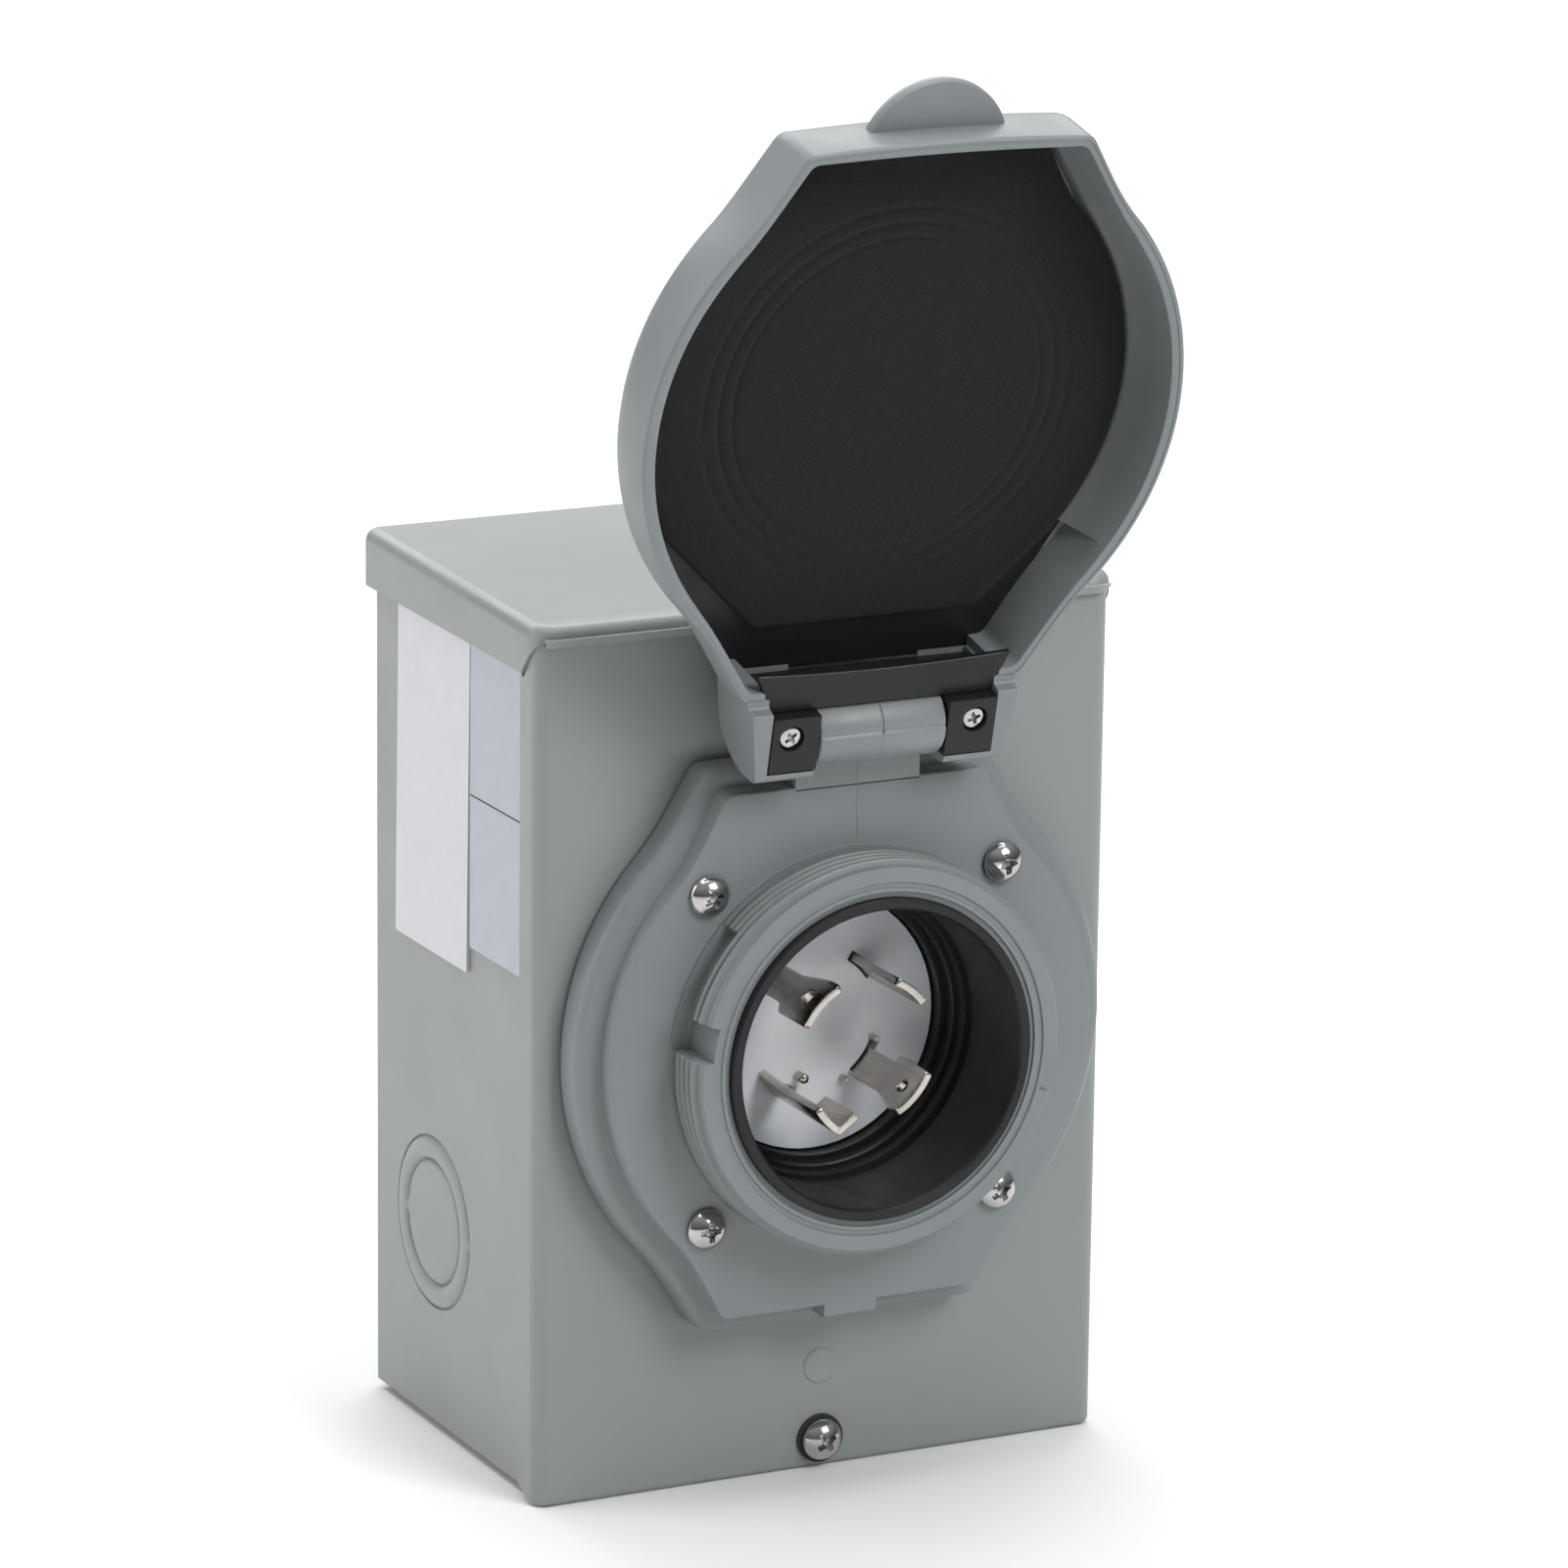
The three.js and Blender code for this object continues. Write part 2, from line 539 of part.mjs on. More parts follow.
// The rear body carries four terminal pockets, open to the sides of the box.
function terminalBlock() {
  const { radius, waist, backRadius, back } = REAR_BODY;
  const front = FACE.back + GAP;
  const body = turned([[0, back], [backRadius, back], [radius, waist], [radius, front], [0, front]], 36);
  const { y, pocket, pocketWidth, pocketDepth } = TERMINAL;
  const pockets = CONTACTS.map((contact) =>
    radialBlock(stemMiddle(contact), pocket, y, pocketDepth, pocketWidth));
  return cut(body, ...contactSlots(FACE.back - 1, BLADE.back + 0.5), ...pockets);
}

function terminals() {
  const { y, clamp } = TERMINAL;
  const { shank, inner, head, headFrom, headTo } = TERMINAL_SCREW;
  const parts = [];
  CONTACTS.forEach((contact, i) => {
    const angle = stemMiddle(contact);
    const plateBody = radialBlock(angle, clamp, y, 9, 8);
    const screw = join(
      radialPin(angle, y, shank, inner, headFrom + 0.1), radialPin(angle, y, head, headFrom, headTo));
    const hole = radialPin(angle, y, shank + GAP, clamp[0] - 1, clamp[1] + 1);
    parts.push(mesh(`terminal_clamp_${i + 1}`, cut(plateBody, hole), BRASS));
    parts.push(mesh(`terminal_screw_${i + 1}`, screw, contact.name === 'blade_ground' ? GREEN : BRASS));
  });
  return parts;
}

function barrelScrew([x, z]) {
  const { head, headHeight, shank, depth } = BARREL_SCREW;
  const seat = BARREL.rimBack + GAP;
  return join(rodY(head, seat, seat + headHeight, x, z, 16), rodY(shank, seat - depth, seat + 0.1, x, z, 12));
}

function groundScrew() {
  const { x, y, head, headHeight, shank, length } = GROUND_SCREW;
  const seat = BODY.bottom + SHEET + GAP;
  return join(rodZ(head, seat, seat + headHeight, x, y, 6), rodZ(shank, seat + 1, seat + length, x, y, 14));
}

// ---- Lid (drawn upright on the hinge axis, y = depth and z = height along it, then leaned) -----
const LID_OUTLINE = { radius: LID.radius, endHalfWidth: LID.endHalfWidth, endHalfHeight: LID.endHalfHeight };
const raisedToCentre = (levels) => levels.map((level) => ({ ...level, shift: LID.centre }));

// The outer skin runs straight back from the rim and then rounds in to the flat back.
function lidOuter() {
  const { rim, back, edgeRound } = LID;
  const roundFrom = back - edgeRound;
  const levels = [
    { outline: inset(LID_OUTLINE, GAP), y: rim },
    { outline: LID_OUTLINE, y: rim + 0.5 },
    { outline: LID_OUTLINE, y: roundFrom },
  ];
  for (const angle of [30, 60, 90]) {
    const pull = edgeRound * (1 - Math.cos(radians(angle)));
    levels.push({ outline: inset(LID_OUTLINE, pull), y: roundFrom + edgeRound * Math.sin(radians(angle)) });
  }
  return loft(raisedToCentre(levels));
}

function lidHollow() {
  const { rim, wall, back, edgeRound, foamFace, foamThickness } = LID;
  return loft(raisedToCentre([
    { outline: inset(LID_OUTLINE, wall), y: rim - 1 },
    { outline: inset(LID_OUTLINE, wall + 2.2), y: back - edgeRound + 2 },
    { outline: inset(LID_OUTLINE, wall + 3.2), y: foamFace + foamThickness + GAP },
  ]));
}

// Two ears carry the hinge retainer: each is hollowed where its block sits.
function lidEars() {
  const { inner, outer, foot } = LID_EAR;
  const profile = [
    [-6.1, 7], [-6.1, -7.8], [-3.6, -8.3], [1.2, -7.6], [5.4, -5.4], [8.4, -1.6], [9.6, 3.4], [9.6, foot],
    [LID.rim, foot],
  ];
  const rooms = [-1, 1].map((side) => {
    const across = [side * (inner - 0.6), side * (RETAINER.outer + GAP)].sort((a, b) => a - b);
    return box(across, [-10, RETAINER.back + GAP], [RETAINER.bottom - GAP, RETAINER.top]);
  });
  return cut(join(profileX(profile, -outer, -inner), profileX(profile, inner, outer)), ...rooms);
}

function lidShell() {
  const { rim, back, centre, endHalfHeight } = LID;
  const shelf = LID_EAR.foot - 2.7;
  const endWall = box([-60, 60], [-20, 40], [-20, shelf]);
  const knuckleRoom = box([-LID_EAR.inner, LID_EAR.inner], [rim - 6, back + 5], [-20, shelf]);
  const tabDisc = rodY(LID_TAB.radius, LID_TAB.front, LID_TAB.back, 0, LID_TAB.centre, 48);
  const tab = cut(tabDisc, box([-20, 20], [0, 10], [80, centre + endHalfHeight - 1]));
  const { x, z, shank, end } = RETAINER_SCREW;
  const screwBores = [-x, x].map((at) => rodY(shank + GAP, 0, end + 0.4, at, z, 12));
  const reach = RETAINER.outer + GAP;
  const retainerRoom = box([-reach, reach], [-10, 11.8], [5, 15.8]);
  return cut(join(cut(lidOuter(), lidHollow(), endWall), lidEars(), tab), retainerRoom, ...screwBores);
}

// The pad's hinge end is cut square, with a slanted corner on each side.
function foamTrim() {
  const { halfWidth, z, farHalfWidth, farZ } = FOAM_TRIM;
  const edge = [[-farHalfWidth, farZ], [-halfWidth, z], [halfWidth, z], [farHalfWidth, farZ]];
  return plate(shapeOf([...edge, [farHalfWidth, -10], [-farHalfWidth, -10]]), 0, 20);
}

function foamPad() {
  const { foamFace, foamThickness, wall } = LID;
  const outline = inset(LID_OUTLINE, wall + 3.7);
  const faces = [foamFace, foamFace + foamThickness];
  return cut(loft(raisedToCentre(faces.map((y) => ({ outline, y })))), foamTrim());
}

// Two blocks hold the pin's ends; the bar joins them behind the flange's hinge barrel.
function hingeRetainer() {
  const { inner, outer, front, back, bottom, top } = RETAINER;
  const barProfile = [[-3.6, 9], [-3.4, 14], [8.2, 15.4], [11.5, 15.4], [11.5, 9]];
  const blocks = [[-outer, -inner], [inner, outer]].map((across) => join(
    box(across, [front, back], [bottom, top - 1.5]), box(across, [front + 1.3, back], [top - 2, top])));
  const pinEnd = HINGE.pinHalf + 0.4;
  const { x, z, shank, recess, recessTo } = RETAINER_SCREW;
  const bores = [-x, x].map((at) => join(
    rodY(shank + GAP, front - 1, back + 1, at, z, 12), rodY(recess, front - 1, recessTo, at, z, 20)));
  return cut(join(profileX(barProfile, -outer, outer), ...blocks),
    rodX(HINGE.pinRadius + GAP, -pinEnd, pinEnd, 0, 0, 20), ...bores);
}

function retainerScrew(x) {
  const { z, head, headRadius, shank, end } = RETAINER_SCREW;
  const profile = [
    [0, head], [headRadius, head], [headRadius, head + 0.5], [shank, head + 1.5], [0, head + 1.5],
  ];
  const cone = new THREE.LatheGeometry(profile.map(([r, y]) => new THREE.Vector2(r, y)), 20);
  cone.translate(x, 0, z);
  return join(solid(cone), rodY(shank, head + 1.4, end, x, z, 12));
}

function lid() {
  const { x } = RETAINER_SCREW;
  const group = new THREE.Group();
  group.position.set(0, HINGE.y, HINGE.z);
  group.rotation.x = radians(LID.openLean);
  group.add(
    mesh('lid_shell', lidShell(), PLASTIC),
    mesh('lid_foam_pad', foamPad(), FOAM),
    mesh('hinge_retainer', hingeRetainer(), BLACK),
    mesh('retainer_screw_left', retainerScrew(-x), STEEL),
    mesh('retainer_screw_right', retainerScrew(x), STEEL),
    mesh('hinge_pin', rodX(HINGE.pinRadius, -HINGE.pinHalf, HINGE.pinHalf, 0, 0, 20), STEEL),
  );
  return group;
}

// ---- Cover fastening -------------------------------------------------------------------------
function coverWasher() {
  const { radius, front } = COVER_WASHER;
  const back = COVER.face - GAP;
  return cut(rodY(radius, front, back, 0, COVER_SCREW.z, 28),
    rodY(COVER_SCREW.shank + GAP, front - 1, back + 1, 0, COVER_SCREW.z, 16));
}

// ---- Assembly --------------------------------------------------------------------------------
const inletBox = new THREE.Group();
inletBox.add(
  mesh('enclosure_body', enclosureBody(), PAINT),
  mesh('roof_hood', roofHood(), PAINT),
  mesh('front_cover', frontCover(), PAINT),
  mesh('cover_screw', panScrew({ x: 0, ...COVER_SCREW }), STEEL),
  mesh('cover_screw_washer', coverWasher(), RUBBER),
  ...knockouts(),
  ...labels(),
  mesh('inlet_flange', inletFlange(), PLASTIC),
  mesh('flange_gasket', flangeGasket(), RUBBER),
  ...flangeFasteners(),
  mesh('inlet_barrel', inletBarrel(), BLACK),
  mesh('inlet_face', inletFace(), NYLON),
  ...CONTACTS.map((contact) => mesh(contact.name, contactBlade(contact), NICKEL)),
  mesh('terminal_block', terminalBlock(), BLACK),
  ...terminals(),
  ...barrelScrewPositions().map((place, i) => mesh(`barrel_screw_${i + 1}`, barrelScrew(place), STEEL)),
  mesh('ground_screw', groundScrew(), GREEN),
  lid(),
);

export default inletBox;
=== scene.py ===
"""Generator inlet box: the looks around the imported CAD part.

Shapes are drawn in millimetres in the part's own frame: the wall is the plane y = 0, the front faces -Y
and +Z is up, with the origin level with the inlet's axis. Meshes are scaled to metres when they are made.
"""
import json
import math

import bmesh
import bpy
import numpy as np
from mathutils import Matrix, Vector


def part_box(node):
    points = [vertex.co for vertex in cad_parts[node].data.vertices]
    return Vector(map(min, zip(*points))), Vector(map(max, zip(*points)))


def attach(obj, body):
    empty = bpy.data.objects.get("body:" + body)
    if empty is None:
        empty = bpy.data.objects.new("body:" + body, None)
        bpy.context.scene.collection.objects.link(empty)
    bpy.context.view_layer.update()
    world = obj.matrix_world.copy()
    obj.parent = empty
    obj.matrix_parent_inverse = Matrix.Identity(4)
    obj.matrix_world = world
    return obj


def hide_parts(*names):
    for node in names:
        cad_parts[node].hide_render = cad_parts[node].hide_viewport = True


MM = 0.001
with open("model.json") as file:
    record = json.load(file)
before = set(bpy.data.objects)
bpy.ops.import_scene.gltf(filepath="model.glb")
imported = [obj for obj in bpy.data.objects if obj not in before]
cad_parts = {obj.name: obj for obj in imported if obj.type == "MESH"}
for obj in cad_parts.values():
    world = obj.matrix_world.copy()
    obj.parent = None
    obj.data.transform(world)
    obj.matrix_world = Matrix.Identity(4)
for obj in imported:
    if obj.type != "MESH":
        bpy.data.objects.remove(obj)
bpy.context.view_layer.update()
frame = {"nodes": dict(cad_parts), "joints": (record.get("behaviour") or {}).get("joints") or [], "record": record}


def node_box(name):
    """A CAD node's lowest and highest corners in millimetres."""
    low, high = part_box(name)
    return low / MM, high / MM


# ---- Driving dimensions, from the frame where it holds them ----
ROOF_LOW, ROOF_HIGH = node_box("roof_hood")
COVER_LOW, COVER_HIGH = node_box("front_cover")
BODY_LOW, BODY_HIGH = node_box("enclosure_body")
BARREL_LOW, BARREL_HIGH = node_box("inlet_barrel")
FLANGE_BACK = node_box("inlet_flange")[1].y
FACE_FRONT = node_box("inlet_face")[0].y
SHEET = 1.2
ROOF_SLOPE = math.radians(2.1)
ROOF_LIP_BACK = 74.9
ROOF_LIP_CORNER = (-72.3, 73.7)
ROOF_FRONT_LIP = 2.0
ROOF_BEND = {"plan": 4.8, "edge": 2.6}
COVER_BEND = {"plan": 3.0, "edge": 1.3}
COVER_GAP = 0.85
COVER_OPENING = 39.0
SCREW_HOLE = 2.4
MARK_HEIGHT = -67.6
KNOCKOUT_GROOVES = ((12.4, 0.0), (17.15, 180.0))

OUTER_TIER = {"radius": 55.5, "half_width": 28.7, "half_height": 55.1}
INNER_TIER = {"radius": 50.5, "half_width": 26.8, "half_height": 51.1}
LID_OUTLINE = {"radius": 54.9, "half_width": 28.5, "half_height": 54.4, "bow": 1.0}
OUTER_FACE = -86.5
INNER_FACE = -91.0
COLLAR_FRONT = -102.6
COLLAR_FOOT = 38.8
COLLAR_CREST = 38.4
COLLAR_FACE = 37.2
COLLAR_BORE = 32.5
BARREL_RADIUS = 31.25
THREADS = 4
THREAD_DEPTH = 0.9
SLOT = {"angle": 169.0, "half_width": 3.65, "floor": 35.0, "back": -92.4}
UNDERCUT = {"front": -96.6, "back": -91.8, "sweep": 33.0, "floor": 36.0}

HINGE = Vector(frame["joints"][0]["pos_m"]) / MM
LID_LEAN = math.radians(180 - max(frame["joints"][0]["range_deg"]))
LID_CENTRE = 62.9
LID_RIM = -3.8
LID_BACK = 14.3
LID_ROUND = 8.6
LID_FLOOR = 11.8
LID_MOUTH = 23.9
FOAM_FACE = 8.6
FOAM_FOOT = {"height": 17.6, "left": 22.2, "right": 24.0, "slope": 1.0}
RETAINER_SCREW = {"x": 19, "height": 1.8}

SMOOTH = 34
FOLD = 50
WELD = 1e-7


# ---- Mesh helpers ----
def mesh_object(name, verts, faces, welded=False):
    """A new object from points in millimetres, with its faces turned outwards."""
    mesh = bpy.data.meshes.new(name)
    mesh.from_pydata([Vector(v) * MM for v in verts], [], faces)
    if welded:
        mesh.validate()
    built = bmesh.new()
    built.from_mesh(mesh)
    if welded:
        bmesh.ops.remove_doubles(built, verts=built.verts, dist=WELD)
    bmesh.ops.recalc_face_normals(built, faces=built.faces)
    built.to_mesh(mesh)
    built.free()
    made = bpy.data.objects.new(name, mesh)
    bpy.context.scene.collection.objects.link(made)
    return made


def make_piece(name, verts, faces, slot, body, smooth=SMOOTH):
    """A new piece, shaded smooth where its faces turn by less than smooth degrees."""
    piece = mesh_object(name, verts, faces, welded=True)
    shade(piece, smooth)
    piece.data.materials.append(MATERIALS[slot])
    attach(piece, body)
    return piece


def shade(piece, angle):
    """Smooth shading, with sharp edges kept where faces turn by more than angle degrees."""
    piece.data.shade_smooth()
    piece.data.set_sharp_from_angle(angle=math.radians(angle))


def flattened(piece):
    """Lets the large faces of a piece set the shading, so that flats stay flat beside rounded edges."""
    modifier = piece.modifiers.new("flats", "WEIGHTED_NORMAL")
    modifier.keep_sharp = True
    modifier.weight = 100


def baked(piece, smooth=SMOOTH):
    """Turns a piece's modifiers into its mesh."""
    bpy.context.view_layer.update()
    graph = bpy.context.evaluated_depsgraph_get()
    mesh = bpy.data.meshes.new_from_object(piece.evaluated_get(graph))
    old = piece.data
    piece.modifiers.clear()
    piece.data = mesh
    bpy.data.meshes.remove(old)
    shade(piece, smooth)


def boolean(piece, tools, operation="DIFFERENCE", smooth=SMOOTH):
    """Cuts or joins loose tool meshes, given as (verts, faces), into a piece."""
    helpers = []
    for verts, faces in tools:
        helper = mesh_object("tool", verts, faces)
        modifier = piece.modifiers.new("cut", "BOOLEAN")
        modifier.operation = operation
        modifier.solver = "EXACT"
        modifier.object = helper
        helpers.append(helper)
    baked(piece, smooth)
    for helper in helpers:
        bpy.data.objects.remove(helper)


def bevelled(piece, width, segments=3, angle=35):
    """Rounds a piece's edges that turn by more than angle degrees, by width millimetres."""
    modifier = piece.modifiers.new("round", "BEVEL")
    modifier.width = width * MM
    modifier.segments = segments
    modifier.limit_method = "ANGLE"
    modifier.angle_limit = math.radians(angle)
    modifier.use_clamp_overlap = True
    baked(piece)


def merged(*parts):
    """One (verts, faces) pair from several."""
    verts, faces = [], []
    for part_verts, part_faces in parts:
        start = len(verts)
        verts += [tuple(v) for v in part_verts]
        faces += [tuple(i + start for i in face) for face in part_faces]
    return verts, faces


def moved(part, transform):
    """A (verts, faces) pair with the transform applied to each of its points."""
    verts, faces = part
    return [transform(v) for v in verts], faces


def ring_skin(rings, closed_along=False):
    """A skin over closed rings of equal length. It closes on itself, or ends in a flat face at each end."""
    count = len(rings[0])
    verts = [tuple(v) for ring in rings for v in ring]
    faces = []
    levels = len(rings)
    for k in range(levels if closed_along else levels - 1):
        low, high = k * count, ((k + 1) % levels) * count
        faces += [(low + i, low + (i + 1) % count, high + (i + 1) % count, high + i) for i in range(count)]
    if not closed_along:
        faces.append(tuple(range(count))[::-1])
        faces.append(tuple((levels - 1) * count + i for i in range(count)))
    return verts, faces


def turned(profile, segments=96, x=0.0, z=0.0):
    """A closed body turned about a line along Y from (radius, y) points. Points on the axis close it."""
    angles = [2 * math.pi * i / segments for i in range(segments)]
    on_axis = [profile[0][0] == 0, profile[-1][0] == 0]
    inner = profile[1 if on_axis[0] else 0: len(profile) - 1 if on_axis[1] else len(profile)]
    rings = [[(x + r * math.cos(a), y, z + r * math.sin(a)) for a in angles] for r, y in inner]
    if not any(on_axis):
        return ring_skin(rings, closed_along=True)
    return ring_skin(rings)


def block(low, high):
    (x0, y0, z0), (x1, y1, z1) = low, high
    verts = [(x, y, z) for z in (z0, z1) for y in (y0, y1) for x in (x0, x1)]
    faces = [(0, 1, 3, 2), (4, 6, 7, 5), (0, 4, 5, 1), (2, 3, 7, 6), (0, 2, 6, 4), (1, 5, 7, 3)]
    return verts, faces


def prism_x(profile, x0, x1):
    """A (y, z) outline drawn out along X."""
    return ring_skin([[(x, y, z) for y, z in profile] for x in (x0, x1)])


def prism_y(outline, y0, y1):
    """An (x, z) outline drawn out along Y."""
    return ring_skin([[(x, y, z) for x, z in outline] for y in (y0, y1)])


def arc(cx, cy, radius, start, end, steps):
    """Points on an arc, angles in degrees."""
    turn = [math.radians(start + (end - start) * i / steps) for i in range(steps + 1)]
    return [(cx + radius * math.cos(a), cy + radius * math.sin(a)) for a in turn]


def curve(start, middle, end, t):
    """A point on the curve that leaves start towards middle and comes into end from it."""
    return tuple(start * (1 - t) ** 2 + middle * 2 * t * (1 - t) + end * t * t)


def rounded(corners, radius, steps=5):
    """A closed outline with each corner rounded. radius may be one number or one for each corner."""
    radii = radius if isinstance(radius, (list, tuple)) else [radius] * len(corners)
    points = []
    for i, (corner, r) in enumerate(zip(corners, radii)):
        here = Vector(corner)
        before = Vector(corners[i - 1]) - here
        after = Vector(corners[(i + 1) % len(corners)]) - here
        reach = min(r, before.length * 0.48, after.length * 0.48)
        start = here + before.normalized() * reach
        end = here + after.normalized() * reach
        points += [curve(start, here, end, k / steps) for k in range(steps + 1)]
    return points


def lid_place(point):
    """From the lid's own axes (x, depth, height above the hinge) to the part's frame, with the lid open."""
    x, depth, height = point
    cos, sin = math.cos(LID_LEAN), math.sin(LID_LEAN)
    return x, HINGE.y + depth * cos - height * sin, HINGE.z + depth * sin + height * cos


# ---- The outline that flange and lid share ----
NECK_ANGLE = 47.5
NECK_BLEND = 6.0
OUTLINE_CORNER = 1.6


def outline_radius(angles, radius, half_width, half_height, bow=0.0):
    """Distance from the centre to the outline at each angle.

    The outline is a circle with a flat-ended extension above and below.
    """
    quarter = arc(0, 0, radius, 0, NECK_ANGLE - NECK_BLEND, 60)
    neck_turn = math.radians(NECK_ANGLE)
    neck = Vector((radius * math.cos(neck_turn), radius * math.sin(neck_turn)))
    tip = Vector((half_width, half_height))
    side = tip - neck
    start = Vector(quarter[-1])
    end = neck + side * 0.42
    quarter += [curve(start, neck, end, k / 20) for k in range(1, 21)]
    bend = tip - side.normalized() * OUTLINE_CORNER
    quarter += [tuple(end.lerp(bend, k / 30)) for k in range(1, 31)]
    flat = Vector((half_width - OUTLINE_CORNER, half_height))
    quarter += [curve(bend, tip, flat, k / 8) for k in range(1, 9)]
    for k in range(1, 61):
        x = flat.x * (1 - k / 60)
        quarter.append((x, half_height + bow * (1 - (x / flat.x) ** 2)))
    points = np.array(quarter)
    turn = np.arctan2(points[:, 1], points[:, 0])
    reach = np.hypot(points[:, 0], points[:, 1])
    folded = np.abs(np.arctan2(np.abs(np.sin(angles)), np.abs(np.cos(angles))))
    return np.interp(folded, turn, reach)


def around(extra=()):
    """Angles round the outline in radians, closer together at its corners and at the extra angles."""
    corner = math.degrees(math.atan2(OUTER_TIER["half_height"], OUTER_TIER["half_width"]))
    marks = [corner, 180 - corner, 180 + corner, 360 - corner]
    fine = [m + d for m in marks for d in np.arange(-3, 3.01, 0.3)]
    every = np.concatenate([np.arange(0, 360, 1.5), fine, list(extra)]) % 360
    return np.radians(np.unique(np.round(every, 3)))


def polar_ring(angles, radii, y, cz=0.0):
    """Points about a line along Y at height cz, one at each angle."""
    depth = np.broadcast_to(y, angles.shape)
    return list(zip(radii * np.cos(angles), depth, cz + radii * np.sin(angles)))


# ---- Materials ----
NOISE_LOW, NOISE_HIGH = 0.3, 0.7


def new_material(name, colour, roughness, metallic=0.0, **sockets):
    """A material with uniform values. An underscore in a socket's name stands for a space."""
    material = bpy.data.materials.new(name)
    material.use_nodes = True
    shader = material.node_tree.nodes["Principled BSDF"]
    shader.inputs["Base Color"].default_value = (*colour, 1)
    shader.inputs["Roughness"].default_value = roughness
    shader.inputs["Metallic"].default_value = metallic
    for socket, value in sockets.items():
        shader.inputs[socket.replace("_", " ")].default_value = value
    return material


def add_node(material, kind, **sockets):
    """A new node in a material, with values for its sockets."""
    node = material.node_tree.nodes.new(kind)
    for socket, value in sockets.items():
        node.inputs[socket.replace("_", " ")].default_value = value
    return node


def noise(material, scale, detail, along_y=1.0):
    """Noise in the piece's own coordinates, with scale in features for each metre, fewer of them along Y."""
    coordinates = add_node(material, "ShaderNodeTexCoord")
    mapping = add_node(material, "ShaderNodeMapping", Scale=(1, along_y, 1))
    texture = add_node(material, "ShaderNodeTexNoise", Scale=scale, Detail=detail)
    links = material.node_tree.links
    links.new(coordinates.outputs["Object"], mapping.inputs["Vector"])
    links.new(mapping.outputs["Vector"], texture.inputs["Vector"])
    return texture.outputs["Fac"]


def surface(name, colour, tone, gloss=None, relief=(), **values):
    """A material whose colour and roughness drift with noise, with layers of fine relief.

    Each setting starts with the scale and detail of its noise. tone goes on with the darkest and lightest
    share of the colour, gloss with the lowest and highest roughness, and a layer of relief with its depth in
    millimetres and its strength. gloss and relief may end with the share of noise that is left along Y.
    """
    material = new_material(name, colour, **values)
    shader = material.node_tree.nodes["Principled BSDF"]
    links = material.node_tree.links
    scale, detail, *shares = tone
    ramp = add_node(material, "ShaderNodeValToRGB")
    for stop, position, share in zip(ramp.color_ramp.elements, (NOISE_LOW, NOISE_HIGH), shares):
        stop.position = position
        stop.color = (*(channel * share for channel in colour), 1)
    links.new(noise(material, scale, detail), ramp.inputs["Fac"])
    links.new(ramp.outputs["Color"], shader.inputs["Base Color"])
    if gloss:
        scale, detail, low, high, *along_y = gloss
        drift = add_node(material, "ShaderNodeMapRange", From_Min=NOISE_LOW, From_Max=NOISE_HIGH,
                         To_Min=low, To_Max=high)
        links.new(noise(material, scale, detail, *along_y), drift.inputs["Value"])
        links.new(drift.outputs["Result"], shader.inputs["Roughness"])
    for scale, detail, depth, strength, *along_y in relief:
        bump = add_node(material, "ShaderNodeBump", Strength=strength, Distance=depth * MM)
        if shader.inputs["Normal"].is_linked:
            links.new(shader.inputs["Normal"].links[0].from_socket, bump.inputs["Normal"])
        links.new(noise(material, scale, detail, *along_y), bump.inputs["Height"])
        links.new(bump.outputs["Normal"], shader.inputs["Normal"])
    return material


